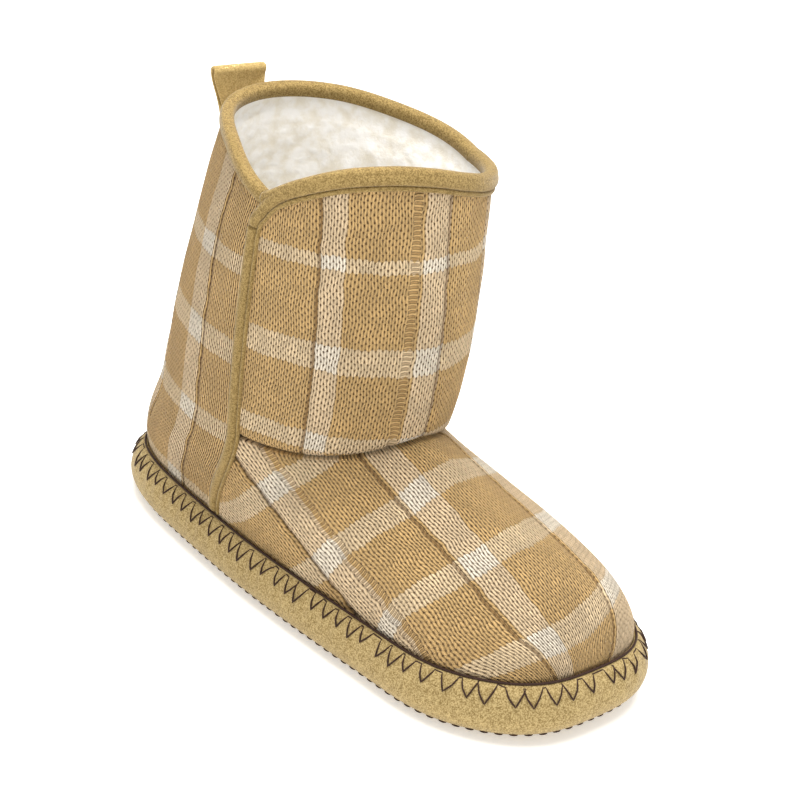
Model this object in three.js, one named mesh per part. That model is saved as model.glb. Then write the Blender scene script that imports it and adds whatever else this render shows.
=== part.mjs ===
// A knitted slipper boot for the right foot, in millimetres: +Z is up, +X is the toe, +Y is the inner side.
// One last gives every piece its shape: the plan outline of the sole, an ankle oval and a collar oval.
// A point of the upper is named by its turn, the way round the foot from the toe (0) over the inner side
// (positive) or the outer side (negative) to the heel (PI), and by its climb from the sole to the collar.
import * as THREE from "three";

const { degToRad, lerp, smoothstep } = THREE.MathUtils;

// Sole outline at the seam where the upper leaves the sole
const SEAM_LENGTH = 256;
const OUTLINE_POWER = 2.95; // 2 would be an ellipse, more is blunter
const TOE_SWING = 5; // the toe's tip lies this far towards the inner side
const WIDTHS = [
  { along: -0.62, outer: 37, inner: 36.5 }, // heel
  { along: -0.1, outer: 40.5, inner: 35 }, // waist
  { along: 0.42, outer: 43.5, inner: 45.5 }, // ball
  { along: 0.8, outer: 50, inner: 58 }, // toe, before its rounding
];

// Sole: a soft cup with a thick base and a side that swells over the floor
const SEAM_HEIGHT = 22;
const BED_HEIGHT = 12;
const TOE_SPRING = 2;
const SPRING_START = 0.6; // share of the half length where the toe begins to lift
const SOLE_SIDE = [
  { height: 0, swell: -3 },
  { height: 1.4, swell: 1 },
  { height: 5, swell: 4.5 },
  { height: 10, swell: 6.1 },
  { height: 15, swell: 5.5 },
  { height: 19, swell: 3.5 },
  { height: SEAM_HEIGHT - 0.5, swell: 1.2 },
  { height: SEAM_HEIGHT, swell: 0.3 },
];
const SOLE_CORE = 0.58; // the flat middle of base and bed is the outline at this scale

// Upper: one wall of knit and pile, from the bed of the sole to the collar
const WALL = 4.5;
const GAP = 0.3; // between pieces that lie on each other
const MARGIN_INSET = 1; // the wall's outer face stands this far inside the seam
const STRIP_TURNS = { outer: degToRad(103), inner: degToRad(96) }; // the side seams under the strips
const TURN_LAG = 0.41; // how far a turn on the ovals falls behind the same turn on the sole

const ANKLE = { centre: -39, front: 70, back: 77.5, side: 43.7, frontHeight: 77.5, sideHeight: 66 };
const COLLAR = { centre: -22, front: 56, back: 55, side: 49.5 };
const NOTCH = { outer: 171, inner: 176 }; // the collar's lowest points, at the side seams

// The collar's height along the front rim, by degrees from the toe, outer side first; both ends run past the notches
const FRONT_RIM = [
  { turn: -116, height: 163 },
  { turn: -103, height: NOTCH.outer },
  { turn: -90, height: 178.4 },
  { turn: -70, height: 185.5 },
  { turn: -45, height: 188.3 },
  { turn: -15, height: 187.1 },
  { turn: 20, height: 182.8 },
  { turn: 55, height: 178 },
  { turn: 80, height: 176.1 },
  { turn: 96, height: NOTCH.inner },
  { turn: 112, height: 177 },
];

// The same along the back rim, inner side first
const BACK_RIM = [
  { turn: 84, height: 173.6 },
  { turn: 96, height: NOTCH.inner },
  { turn: 112, height: 179.2 },
  { turn: 132, height: 182.8 },
  { turn: 155, height: 187.3 },
  { turn: 180, height: 188.8 },
  { turn: 205, height: 186.6 },
  { turn: 230, height: 181.4 },
  { turn: 257, height: NOTCH.outer },
  { turn: 270, height: 165 },
];

// How full the collar's oval is, by degrees from the toe over the inner side: it is drawn in at the outer back
const FULLNESS = [
  { turn: 0, full: 1 },
  { turn: 35, full: 1.025 },
  { turn: 75, full: 1.045 },
  { turn: 105, full: 1.035 },
  { turn: 145, full: 1 },
  { turn: 192, full: 1 },
  { turn: 226, full: 0.915 },
  { turn: 252, full: 0.98 },
  { turn: 275, full: 1 },
  { turn: 360, full: 1 },
];

// How the wall leaves the seam (rise up, out from the foot) and reaches the ankle line (reach, dip)
const PROFILES = [
  { turn: 0, rise: 26, out: 4, reach: 40, dip: 24 }, // toe
  { turn: 35, rise: 21, out: 4, reach: 34, dip: 32 }, // toe corner
  { turn: 65, rise: 21, out: 4, reach: 24, dip: 40 }, // ball
  { turn: 100, rise: 16, out: 3, reach: 14, dip: 78 }, // side seam
  { turn: 145, rise: 17, out: 3, reach: 15, dip: 82 }, // heel side
  { turn: 180, rise: 18.5, out: 3, reach: 16, dip: 82 }, // heel
];
const SHAFT_PUFF = 5; // the front of the shaft swells over the ankle seam
const SHAFT_BELLY = 2.5; // the shaft's walls are a little full halfway up

// Grid of the upper
const FRONT_STEPS = 22; // from toe to side seam, on each side
const BACK_STEPS = 14; // from side seam to heel
const MARGIN_ROWS = 2;
const FOOT_ROWS = 10;
const SHAFT_ROWS = 8;
const SEAM_CLIMB = 1;
const ANKLE_CLIMB = 2;
const RIM_CLIMB = 3;

// Insole, tapes and pull loop
const INSOLE = { thick: 4, clear: 0.6, rounding: 1 };
const BINDING = { outside: 5, corner: 13, inside: 4.5, cornerWidth: degToRad(11) };
const TAPE_THICK = 1.2;
const TAPE_FULLNESS = 0.9; // a tape swells this much over the edge it wraps
const STRIP = { halfWidth: 3.6, crown: 1.7, edge: 0.9, joint: 0.6 };
const LOOP = { width: 21.8, flare: 2, rise: 4.6, drop: 14, thick: 1.3, slit: 1.4, lean: 2, twist: 12 };
const LOOP_TURN = Math.PI + 0.095; // the loop sits a little to the outer side of the heel
const LOOP_FOLD_STEPS = 6;
const LOOP_LEG_STEPS = 6;

const TAN_SUEDE = new THREE.Color(0.5, 0.37, 0.15);
const MATERIALS = {
  suede: new THREE.MeshStandardMaterial({ color: TAN_SUEDE, roughness: 0.92, metalness: 0 }),
  knit: new THREE.MeshStandardMaterial({ color: 0xc2a06c, roughness: 0.95, metalness: 0 }),
  fleece: new THREE.MeshStandardMaterial({ color: 0xeeebe1, roughness: 1, metalness: 0 }),
};

// One column of a table as a smooth curve along its key column, level at both ends
function smoothColumn(table, key, column) {
  const places = table.map((row) => row[key]);
  const values = table.map((row) => row[column]);
  const curve = new THREE.CubicInterpolant(places, values, 1, [0]);
  curve.settings = { endingStart: THREE.ZeroSlopeEnding, endingEnd: THREE.ZeroSlopeEnding };
  return (place) => curve.evaluate(THREE.MathUtils.clamp(place, places[0], places.at(-1)))[0];
}

const HALF_WIDTH = {
  outer: smoothColumn(WIDTHS, "along", "outer"),
  inner: smoothColumn(WIDTHS, "along", "inner"),
};
const PROFILE = {
  rise: smoothColumn(PROFILES, "turn", "rise"),
  out: smoothColumn(PROFILES, "turn", "out"),
  reach: smoothColumn(PROFILES, "turn", "reach"),
  dip: smoothColumn(PROFILES, "turn", "dip"),
};
const COLLAR_FULL = smoothColumn(FULLNESS, "turn", "full");
const RIM_HEIGHT = {
  front: smoothColumn(FRONT_RIM, "turn", "height"),
  back: smoothColumn(BACK_RIM, "turn", "height"),
};

// How far a turn is from the toe, and the side seam on its side of the foot
const turnSize = (turn) => Math.acos(Math.cos(turn));
const sideOf = (turn) => (Math.sin(turn) < 0 ? "outer" : "inner");
const stripTurn = (turn) => STRIP_TURNS[sideOf(turn)];

const signedPower = (value, power) => Math.sign(value) * Math.abs(value) ** power;

// The share of the half length that a turn stands at, from -1 at the heel to 1 at the toe
const alongOf = (turn) => signedPower(Math.cos(turn), 2 / OUTLINE_POWER);

// The lift of the sole towards the toe
function springAt(along) {
  const share = Math.max(0, (along - SPRING_START) / (1 - SPRING_START));
  return TOE_SPRING * share ** 2;
}

function seamPoint(turn) {
  const along = alongOf(turn);
  const half = HALF_WIDTH[sideOf(turn)](along) * signedPower(Math.sin(turn), 2 / OUTLINE_POWER);
  return new THREE.Vector3((along * SEAM_LENGTH) / 2, half + TOE_SWING * Math.max(0, along) ** 2, 0);
}

const NEAR = 1e-3; // step of the slopes

function seamNormal(turn) {
  const tangent = seamPoint(turn + NEAR).sub(seamPoint(turn - NEAR));
  return new THREE.Vector3(tangent.y, -tangent.x, 0).normalize();
}

// A point on the outline, moved out by a swell and up to a height above the sprung floor
function outlinePoint(turn, swell, height) {
  const point = seamPoint(turn).addScaledVector(seamNormal(turn), swell);
  point.z = height + springAt(alongOf(turn));
  return point;
}

// The same turn on the ankle and collar ovals
const ovalTurn = (turn) => turn - TURN_LAG * Math.sin(turn);

function ovalPoint(oval, turn, height, full = 1) {
  const around = ovalTurn(turn);
  const reach = full * (Math.cos(around) > 0 ? oval.front : oval.back);
  return new THREE.Vector3(oval.centre + reach * Math.cos(around), full * oval.side * Math.sin(around), height);
}

function anklePoint(turn) {
  const share = Math.min(1, turnSize(turn) / stripTurn(turn));
  const rise = 0.5 + 0.5 * Math.cos(Math.PI * share);
  return ovalPoint(ANKLE, turn, lerp(ANKLE.sideHeight, ANKLE.frontHeight, rise));
}

function collarPoint(turn) {
  const size = turnSize(turn);
  const degrees = THREE.MathUtils.radToDeg(size);
  const inner = sideOf(turn) === "inner";
  const front = RIM_HEIGHT.front(inner ? degrees : -degrees);
  const wholeTurn = inner ? degrees : 360 - degrees;
  const back = RIM_HEIGHT.back(wholeTurn);
  return ovalPoint(COLLAR, turn, size < stripTurn(turn) ? front : back, COLLAR_FULL(wholeTurn));
}

// From the seam over the foot to the ankle line
function footCurve(turn) {
  const degrees = THREE.MathUtils.radToDeg(turnSize(turn));
  const seam = outlinePoint(turn, -MARGIN_INSET, SEAM_HEIGHT);
  const ankle = anklePoint(turn);
  const leave = seam.clone().addScaledVector(seamNormal(turn), PROFILE.out(degrees));
  leave.z += PROFILE.rise(degrees);
  const dip = degToRad(PROFILE.dip(degrees));
  const around = ovalTurn(turn);
  const outward = new THREE.Vector3(Math.cos(around), Math.sin(around), 0);
  const arrive = ankle.clone().addScaledVector(outward, PROFILE.reach(degrees) * Math.cos(dip));
  arrive.z -= PROFILE.reach(degrees) * Math.sin(dip);
  return new THREE.CubicBezierCurve3(seam, leave, arrive, ankle);
}

// From the ankle line up the shaft to the collar
function shaftCurve(turn) {
  const ankle = anklePoint(turn);
  const collar = collarPoint(turn);
  const around = ovalTurn(turn);
  const outward = new THREE.Vector3(Math.cos(around), Math.sin(around), 0);
  const frontness = 1 - smoothstep(turnSize(turn) / stripTurn(turn), 0.55, 1);
  const low = ankle.clone().lerp(collar, 1 / 3);
  const high = ankle.clone().lerp(collar, 2 / 3);
  low.addScaledVector(outward, SHAFT_BELLY + SHAFT_PUFF * frontness);
  high.addScaledVector(outward, SHAFT_BELLY);
  return new THREE.CubicBezierCurve3(ankle, low, high, collar);
}

// The upper's outer face at a turn and a climb
function facePoint(turn, climb) {
  if (climb <= SEAM_CLIMB) {
    return outlinePoint(turn, -MARGIN_INSET, lerp(BED_HEIGHT + GAP, SEAM_HEIGHT, climb));
  }
  if (climb <= ANKLE_CLIMB) return footCurve(turn).getPoint(climb - SEAM_CLIMB);
  return shaftCurve(turn).getPoint(Math.min(1, climb - ANKLE_CLIMB));
}

function climbSlope(turn, climb) {
  const above = facePoint(turn, Math.min(RIM_CLIMB, climb + NEAR));
  return above.sub(facePoint(turn, Math.max(0, climb - NEAR))).normalize();
}

function turnSlope(turn, climb) {
  return facePoint(turn + NEAR, climb).sub(facePoint(turn - NEAR, climb)).divideScalar(2 * NEAR);
}

function faceNormal(turn, climb) {
  return turnSlope(turn, climb).cross(climbSlope(turn, climb)).normalize();
}

// A point off the outer face: out is positive away from the foot, and rise is above the collar's rim
function offFace(turn, climb, out, rise = 0) {
  const point = facePoint(turn, climb).addScaledVector(faceNormal(turn, climb), out);
  return point.addScaledVector(climbSlope(turn, climb), rise);
}

// The climb at a drop below the rim, measured along the shaft
function climbAtDrop(turn, drop) {
  return RIM_CLIMB - drop / anklePoint(turn).distanceTo(collarPoint(turn));
}

// Turns from one to another, at even lengths along the outline
function evenTurns(from, to, steps) {
  const fine = 400;
  const turns = Array.from({ length: fine + 1 }, (_, i) => lerp(from, to, i / fine));
  const lengths = [0];
  for (let i = 1; i <= fine; i++) {
    lengths.push(lengths[i - 1] + seamPoint(turns[i]).distanceTo(seamPoint(turns[i - 1])));
  }
  return Array.from({ length: steps }, (_, step) => {
    const goal = (lengths[fine] * step) / steps;
    const after = Math.max(1, lengths.findIndex((length) => length >= goal));
    const share = (goal - lengths[after - 1]) / (lengths[after] - lengths[after - 1]);
    return lerp(turns[after - 1], turns[after], share);
  });
}

// Once round the foot, anticlockwise from above, with a station on each side seam
const sideTurns = (seam) => [...evenTurns(0, seam, FRONT_STEPS), ...evenTurns(seam, Math.PI, BACK_STEPS)];
const INNER_TURNS = sideTurns(STRIP_TURNS.inner);
const OUTER_TURNS = sideTurns(STRIP_TURNS.outer);
const TURNS = [...INNER_TURNS, Math.PI, ...OUTER_TURNS.slice(1).reverse().map((turn) => -turn)];

// The triangles of a flat section, in the section's own order
function capTriangles(section) {
  const order = Math.sign(THREE.ShapeUtils.area(section));
  return THREE.ShapeUtils.triangulateShape(section, []).map(([a, b, c]) => {
    const area = THREE.ShapeUtils.area([section[a], section[b], section[c]]);
    return Math.sign(area) === order ? [a, b, c] : [a, c, b];
  });
}

function signedVolume(points, index) {
  let sum = 0;
  for (let i = 0; i < index.length; i += 3) {
    const [a, b, c] = [points[index[i]], points[index[i + 1]], points[index[i + 2]]];
    sum += a.dot(b.clone().cross(c));
  }
  return sum / 6;
}

// Joins equal rings of points into one closed skin: a ring of rings, or a run that a flat section caps
function loft(rings, section) {
  const count = rings[0].length;
  const points = rings.flat();
  const index = [];
  const bands = section ? rings.length - 1 : rings.length;
  for (let row = 0; row < bands; row++) {
    const low = row * count;
    const high = ((row + 1) % rings.length) * count;
    for (let i = 0; i < count; i++) {
      const j = (i + 1) % count;
      index.push(low + i, low + j, high + j, low + i, high + j, high + i);
    }
  }
  const last = (rings.length - 1) * count;
  for (const [a, b, c] of section ? capTriangles(section) : []) {
    index.push(a, c, b, last + a, last + b, last + c);
  }
  if (signedVolume(points, index) < 0) index.reverse();
  const geometry = new THREE.BufferGeometry().setFromPoints(points).setIndex(index);
  geometry.computeVertexNormals();
  return geometry;
}

const flatten = (ring) => ring.map((point) => new THREE.Vector2(point.x, point.y));

// The outline at a share of its size about the middle of the foot
function coreRing(share, swell, height) {
  return TURNS.map((turn) => {
    const point = outlinePoint(turn, swell, 0).multiplyScalar(share);
    return point.setZ(height + springAt((2 * point.x) / SEAM_LENGTH));
  });
}

// The cup of the sole: bottom, swelling side, lip, inner wall and bed
function soleGeometry() {
  const wall = -MARGIN_INSET + GAP;
  const rings = [
    coreRing(SOLE_CORE, SOLE_SIDE[0].swell, 0),
    ...SOLE_SIDE.map(({ height, swell }) => TURNS.map((turn) => outlinePoint(turn, swell, height))),
    TURNS.map((turn) => outlinePoint(turn, wall, SEAM_HEIGHT - GAP)),
    TURNS.map((turn) => outlinePoint(turn, wall, BED_HEIGHT)),
    coreRing(SOLE_CORE, wall, BED_HEIGHT),
  ];
  return loft(rings, flatten(rings[0]));
}

// The pad on the bed, inside the wall
function insoleGeometry() {
  const inset = -(MARGIN_INSET + WALL + INSOLE.clear);
  const low = BED_HEIGHT + GAP;
  const high = low + INSOLE.thick;
  const rings = [
    coreRing(SOLE_CORE, inset, low),
    TURNS.map((turn) => outlinePoint(turn, inset - INSOLE.rounding, low)),
    TURNS.map((turn) => outlinePoint(turn, inset, low + INSOLE.rounding)),
    TURNS.map((turn) => outlinePoint(turn, inset, high - INSOLE.rounding)),
    TURNS.map((turn) => outlinePoint(turn, inset - INSOLE.rounding, high)),
    coreRing(SOLE_CORE, inset, high),
  ];
  return loft(rings, flatten(rings[0]));
}

const spread = (from, to, steps) => Array.from({ length: steps }, (_, i) => lerp(from, to, i / steps));

// The climbs of the upper's rows, with one on the seam, the ankle line and the rim
const CLIMBS = [
  ...spread(0, SEAM_CLIMB, MARGIN_ROWS),
  ...spread(SEAM_CLIMB, ANKLE_CLIMB, FOOT_ROWS),
  ...spread(ANKLE_CLIMB, RIM_CLIMB, SHAFT_ROWS),
  RIM_CLIMB,
];

// The wall: its outer face up to the rim, then its inner face down again
function upperGeometry() {
  const outer = CLIMBS.map((climb) => TURNS.map((turn) => facePoint(turn, climb)));
  const inner = CLIMBS.map((climb) => TURNS.map((turn) => offFace(turn, climb, -WALL)));
  return loft([...outer, ...inner.reverse()]);
}

// A tape folded over the rim, between two turns; its outside may hang lower towards a corner
function bindingGeometry(turns, outsideDrop) {
  const face = GAP + TAPE_THICK;
  const full = face + TAPE_FULLNESS;
  const inFace = -WALL - face;
  const inFull = -WALL - full;
  const sectionAt = (outside) => [
    { drop: outside, out: GAP },
    { drop: outside, out: face },
    { drop: outside * 0.55, out: full },
    { drop: 0.5, out: full },
    { drop: -face, out: 0.2 },
    { drop: -face, out: -WALL - 0.2 },
    { drop: 0.5, out: inFull },
    { drop: BINDING.inside * 0.55, out: inFull },
    { drop: BINDING.inside, out: inFace },
    { drop: BINDING.inside, out: -WALL - GAP },
    { drop: -GAP, out: -WALL - GAP },
    { drop: -GAP, out: GAP },
    { drop: outside * 0.55, out: GAP },
  ];
  const rings = turns.map((turn) =>
    sectionAt(outsideDrop(turn)).map(({ drop, out }) => {
      const climb = climbAtDrop(turn, Math.max(0, drop));
      return offFace(turn, climb, out, Math.max(0, -drop));
    }),
  );
  const section = sectionAt(BINDING.outside).map(({ drop, out }) => new THREE.Vector2(out, -drop));
  return loft(rings, section);
}

const stripHalfTurn = (turn, climb) => STRIP.halfWidth / turnSlope(turn, climb).length();
const STRIP_REACH = stripHalfTurn(STRIP_TURNS.outer, RIM_CLIMB);

// The drop from the rim to a level line below the notch
const levelDrop = (turn, below) => below + collarPoint(turn).z - NOTCH[sideOf(turn)];

// The front binding turns down the side seam, where its edge lies level over the strip
function frontDrop(turn) {
  const seam = stripTurn(turn);
  const share = smoothstep(turnSize(turn), seam - BINDING.cornerWidth, seam - STRIP_REACH);
  return lerp(BINDING.outside, levelDrop(turn, BINDING.corner), share);
}

// The front binding covers the tops of the side strips, and the back binding starts behind it
const BINDING_JOINT = 0.4 / turnSlope(STRIP_TURNS.outer, RIM_CLIMB).length();

function frontBindingGeometry() {
  const toCorner = (turns, seam) => [
    ...turns.filter((turn) => turn < seam - 1.5 * STRIP_REACH),
    ...[-1.2, -0.6, 0, 0.5, 1].map((share) => seam + share * STRIP_REACH),
  ];
  const inner = toCorner(INNER_TURNS, STRIP_TURNS.inner);
  const outer = toCorner(OUTER_TURNS.slice(1), STRIP_TURNS.outer).map((turn) => -turn);
  return bindingGeometry([...outer.reverse(), ...inner], frontDrop);
}

function backBindingGeometry() {
  const fromCorner = (turns, seam) => {
    const start = seam + STRIP_REACH + BINDING_JOINT;
    return [start, ...turns.filter((turn) => turn > start)];
  };
  const inner = fromCorner(INNER_TURNS, STRIP_TURNS.inner);
  const outer = fromCorner(OUTER_TURNS, STRIP_TURNS.outer).map((turn) => 2 * Math.PI - turn);
  return bindingGeometry([...inner, Math.PI, ...outer.reverse()], () => BINDING.outside);
}

// The tape that covers a side seam from the sole up to the lower edge of the front binding
function stripGeometry(side) {
  const seamTurn = side * STRIP_TURNS[side < 0 ? "outer" : "inner"];
  const start = SEAM_CLIMB + 0.04;
  const topClimb = (turn) => climbAtDrop(turn, levelDrop(turn, BINDING.corner + STRIP.joint));
  const climbs = [start, ...CLIMBS.filter((climb) => climb > start && climb < topClimb(seamTurn) - 0.02)];
  const section = [
    { across: -1, out: GAP },
    { across: 1, out: GAP },
    { across: 1, out: GAP + STRIP.edge },
    { across: 0.5, out: GAP + STRIP.crown },
    { across: -0.5, out: GAP + STRIP.crown },
    { across: -1, out: GAP + STRIP.edge },
  ];
  const ringAt = (climbOf) =>
    section.map(({ across, out }) => {
      const turn = seamTurn + across * stripHalfTurn(seamTurn, climbOf(seamTurn));
      return offFace(turn, climbOf(turn), out);
    });
  const rings = [...climbs.map((climb) => ringAt(() => climb)), ringAt(topClimb)];
  const flat = section.map(({ across, out }) => new THREE.Vector2(across * STRIP.halfWidth, out));
  return loft(rings, flat);
}

// The middle line of the loop's tape: up from the binding, over a round fold and down again
function loopPath() {
  const radius = (LOOP.slit + LOOP.thick) / 2;
  const legs = spread(-LOOP.drop, LOOP.rise - radius, LOOP_LEG_STEPS);
  const fold = Array.from({ length: LOOP_FOLD_STEPS + 1 }, (_, i) => (Math.PI * i) / LOOP_FOLD_STEPS);
  const up = legs.map((height) => ({ back: -radius, height, face: Math.PI }));
  const over = fold.map((angle) => ({
    back: -radius * Math.cos(angle),
    height: LOOP.rise - radius + radius * Math.sin(angle),
    face: Math.PI - angle,
  }));
  const down = legs.map((height) => ({ back: radius, height, face: 0 })).reverse();
  return [...up, ...over, ...down];
}

// The pull loop behind the collar: towards its top it flares, leans back, and swings its outer edge away
function loopGeometry() {
  const root = offFace(LOOP_TURN, RIM_CLIMB, GAP + TAPE_THICK + TAPE_FULLNESS + GAP + LOOP.thick + LOOP.slit / 2);
  const up = climbSlope(LOOP_TURN, RIM_CLIMB);
  const back = faceNormal(LOOP_TURN, RIM_CLIMB);
  const side = back.clone().cross(up);
  const hinge = root.clone().addScaledVector(side, LOOP.width / 2);
  const section = [
    { across: 0, out: -1 },
    { across: 0, out: 1 },
    { across: 0.5, out: 1 },
    { across: 1, out: 1 },
    { across: 1, out: -1 },
    { across: 0.5, out: -1 },
  ];
  const rings = loopPath().map((step) => {
    const share = smoothstep(step.height, -LOOP.drop, LOOP.rise);
    const width = LOOP.width + LOOP.flare * share;
    return section.map(({ across, out }) => {
      const lift = step.height + (out * LOOP.thick * Math.sin(step.face)) / 2;
      const behind = step.back + (out * LOOP.thick * Math.cos(step.face)) / 2;
      const turned = side.clone().multiplyScalar(-across * width).addScaledVector(back, behind);
      turned.applyAxisAngle(up, -degToRad(LOOP.twist) * share);
      return turned.add(hinge).addScaledVector(up, lift).addScaledVector(back, LOOP.lean * share);
    });
  });
  const flat = section.map(({ across, out }) => new THREE.Vector2(across * LOOP.width, out));
  return loft(rings, flat);
}

function piece(name, geometry, material) {
  const mesh = new THREE.Mesh(geometry, material);
  mesh.name = name;
  return mesh;
}

const shoe = new THREE.Group();
shoe.add(
  piece("sole", soleGeometry(), MATERIALS.suede),
  piece("insole", insoleGeometry(), MATERIALS.fleece),
  piece("upper", upperGeometry(), MATERIALS.knit),
  piece("collar_binding_front", frontBindingGeometry(), MATERIALS.suede),
  piece("collar_binding_back", backBindingGeometry(), MATERIALS.suede),
  piece("side_strip_outer", stripGeometry(-1), MATERIALS.suede),
  piece("side_strip_inner", stripGeometry(1), MATERIALS.suede),
  piece("pull_loop", loopGeometry(), MATERIALS.suede),
);

// The origin is on the floor under the middle of the whole shoe
const middle = new THREE.Box3().setFromObject(shoe).getCenter(new THREE.Vector3());
shoe.position.set(-middle.x, -middle.y, 0);
const slipper = new THREE.Group();
slipper.add(shoe);

export default slipper;
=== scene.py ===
# %% [markdown]
# A knitted slipper boot for the right foot, dressed for its portrait.
# The solids give its size and form. This lesson lays the knit, the pile lining, the suede tapes and the
# hand stitching over them, one piece at a time, with grids that Blender makes and a last that bends them.

import math

import bmesh
import bpy
import numpy as np
from mathutils import Matrix, Vector, noise


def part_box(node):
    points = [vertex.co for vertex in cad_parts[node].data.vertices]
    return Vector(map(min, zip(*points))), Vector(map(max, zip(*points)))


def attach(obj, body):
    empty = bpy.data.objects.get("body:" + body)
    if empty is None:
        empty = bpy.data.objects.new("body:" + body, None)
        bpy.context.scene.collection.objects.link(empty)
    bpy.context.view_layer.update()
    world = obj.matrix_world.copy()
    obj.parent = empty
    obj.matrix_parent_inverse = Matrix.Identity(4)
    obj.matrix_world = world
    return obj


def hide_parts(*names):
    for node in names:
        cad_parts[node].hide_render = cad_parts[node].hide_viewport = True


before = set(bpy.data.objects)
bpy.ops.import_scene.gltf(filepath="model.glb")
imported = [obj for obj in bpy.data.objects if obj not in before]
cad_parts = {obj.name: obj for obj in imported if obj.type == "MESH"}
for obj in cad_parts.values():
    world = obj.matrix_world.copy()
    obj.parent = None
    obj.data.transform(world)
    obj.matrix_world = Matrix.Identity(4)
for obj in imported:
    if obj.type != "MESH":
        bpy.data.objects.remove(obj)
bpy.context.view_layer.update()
MM = 0.001

# %% [markdown]
# A shoemaker bends every piece over one last. Here the last is a handful of formulas: a turn goes round the
# foot from the toe (0) over the inner side (positive) or the outer side (negative) to the heel, and a climb
# goes from the sole's bed (0) over the seam (1) and the ankle line (2) to the collar's rim (3).
# The sizes are the same as in the solids, in millimetres, so a piece lands where its solid is.

# %% Sizes of the last
SEAM_LENGTH = 256.0
OUTLINE_POWER = 2.95
TOE_SWING = 5.0
SEAM_HEIGHT = 22.0
BED_HEIGHT = 12.3
MARGIN_INSET = 1.0
WALL = 4.5
STRIP_OUTER = math.radians(103)
STRIP_INNER = math.radians(96)
TURN_LAG = 0.41
NOTCH_OUTER = 171.0
NOTCH_INNER = 176.0
TOE_LIFT = 2.0
TOE_LIFT_FROM = 0.6
ANKLE_OVAL = {"centre": -39, "front": 70, "back": 77.5, "side": 43.7}
ANKLE_AT_STRIP = 66
ANKLE_AT_FRONT = 77.5
COLLAR_OVAL = {"centre": -22, "front": 56, "back": 55, "side": 49.5}
SHAFT_SWELL = 2.5
FRONT_SWELL = 5
SMALL_STEP = 1e-3


def smooth_column(places, values):
    """One column of a table as a smooth curve, level at both ends."""
    places = np.array(places, float)
    values = np.array(values, float)
    ends = (2 * places[0] - places[1], 2 * places[-1] - places[-2])
    knots = np.concatenate([ends[:1], places, ends[1:]])
    heights = np.concatenate([values[1:2], values, values[-2:-1]])

    def read(place):
        place = np.clip(place, places[0], places[-1])
        i = np.clip(np.searchsorted(places, place, side="right") - 1, 0, len(places) - 2)
        step = places[i + 1] - places[i]
        p = (place - places[i]) / step
        before = 0.5 * step / (places[i] - knots[i])
        after = 0.5 * step / (knots[i + 3] - places[i + 1])
        return (
            (-before * p**3 + 2 * before * p**2 - before * p) * heights[i]
            + ((1 + before) * p**3 + (-1.5 - 2 * before) * p**2 + (before - 0.5) * p + 1) * heights[i + 1]
            + ((-1 - after) * p**3 + (1.5 + after) * p**2 + 0.5 * p) * heights[i + 2]
            + (after * p**3 - after * p**2) * heights[i + 3]
        )

    return read


ALONG = (-0.62, -0.1, 0.42, 0.8)
HALF_OUTER = smooth_column(ALONG, (37, 40.5, 43.5, 50))
HALF_INNER = smooth_column(ALONG, (36.5, 35, 45.5, 58))
PROFILE_TURNS = np.radians((0, 35, 65, 100, 145, 180))
PROFILE_RISE = smooth_column(PROFILE_TURNS, (26, 21, 21, 16, 17, 18.5))
PROFILE_OUT = smooth_column(PROFILE_TURNS, (4, 4, 4, 3, 3, 3))
PROFILE_REACH = smooth_column(PROFILE_TURNS, (40, 34, 24, 14, 15, 16))
PROFILE_DIP = smooth_column(PROFILE_TURNS, np.radians((24, 32, 40, 78, 82, 82)))
print("last", SEAM_LENGTH, "mm long at the seam, notches", NOTCH_OUTER, "and", NOTCH_INNER, "mm high")

# %% The last's outline and ovals
UP = np.array((0.0, 0.0, 1.0))


def lerp(a, b, share):
    return a + (b - a) * share


def smoothstep(value, low, high):
    share = np.clip((value - low) / (high - low), 0, 1)
    return share * share * (3 - 2 * share)


def unit(vectors):
    return vectors / np.linalg.norm(vectors, axis=-1, keepdims=True)


def points(x, y, z):
    return np.stack(np.broadcast_arrays(x, y, z), -1).astype(float)


def run_lengths(places, axis):
    steps = np.linalg.norm(np.diff(places, axis=axis), axis=-1)
    start = np.zeros_like(np.take(steps, [0], axis=axis))
    return np.concatenate([start, np.cumsum(steps, axis=axis)], axis=axis)


def signed_power(value, power):
    return np.sign(value) * np.abs(value) ** power


def turn_size(turn):
    return np.arccos(np.clip(np.cos(turn), -1, 1))


def strip_turn(turn):
    return np.where(np.sin(turn) < 0, STRIP_OUTER, STRIP_INNER)


def along_of(turn):
    return signed_power(np.cos(turn), 2 / OUTLINE_POWER)


def seam_point(turn):
    along = along_of(turn)
    half = np.where(np.sin(turn) < 0, HALF_OUTER(along), HALF_INNER(along))
    across = half * signed_power(np.sin(turn), 2 / OUTLINE_POWER)
    return points(along * SEAM_LENGTH / 2, across + TOE_SWING * np.maximum(0, along) ** 2, 0)


def seam_normal(turn):
    tangent = seam_point(turn + SMALL_STEP) - seam_point(turn - SMALL_STEP)
    return unit(points(tangent[..., 1], -tangent[..., 0], 0))


def toe_spring(along):
    return TOE_LIFT * np.maximum(0, (along - TOE_LIFT_FROM) / (1 - TOE_LIFT_FROM)) ** 2


def outline_point(turn, swell, height):
    """A point beside the sole's outline, in the frame of the solids."""
    turn, swell, height = np.broadcast_arrays(turn, swell, height)
    place = seam_point(turn) + seam_normal(turn) * swell[..., None]
    place[..., 1] += SIDE_SHIFT
    place[..., 2] = height + toe_spring(along_of(turn))
    return place


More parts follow.
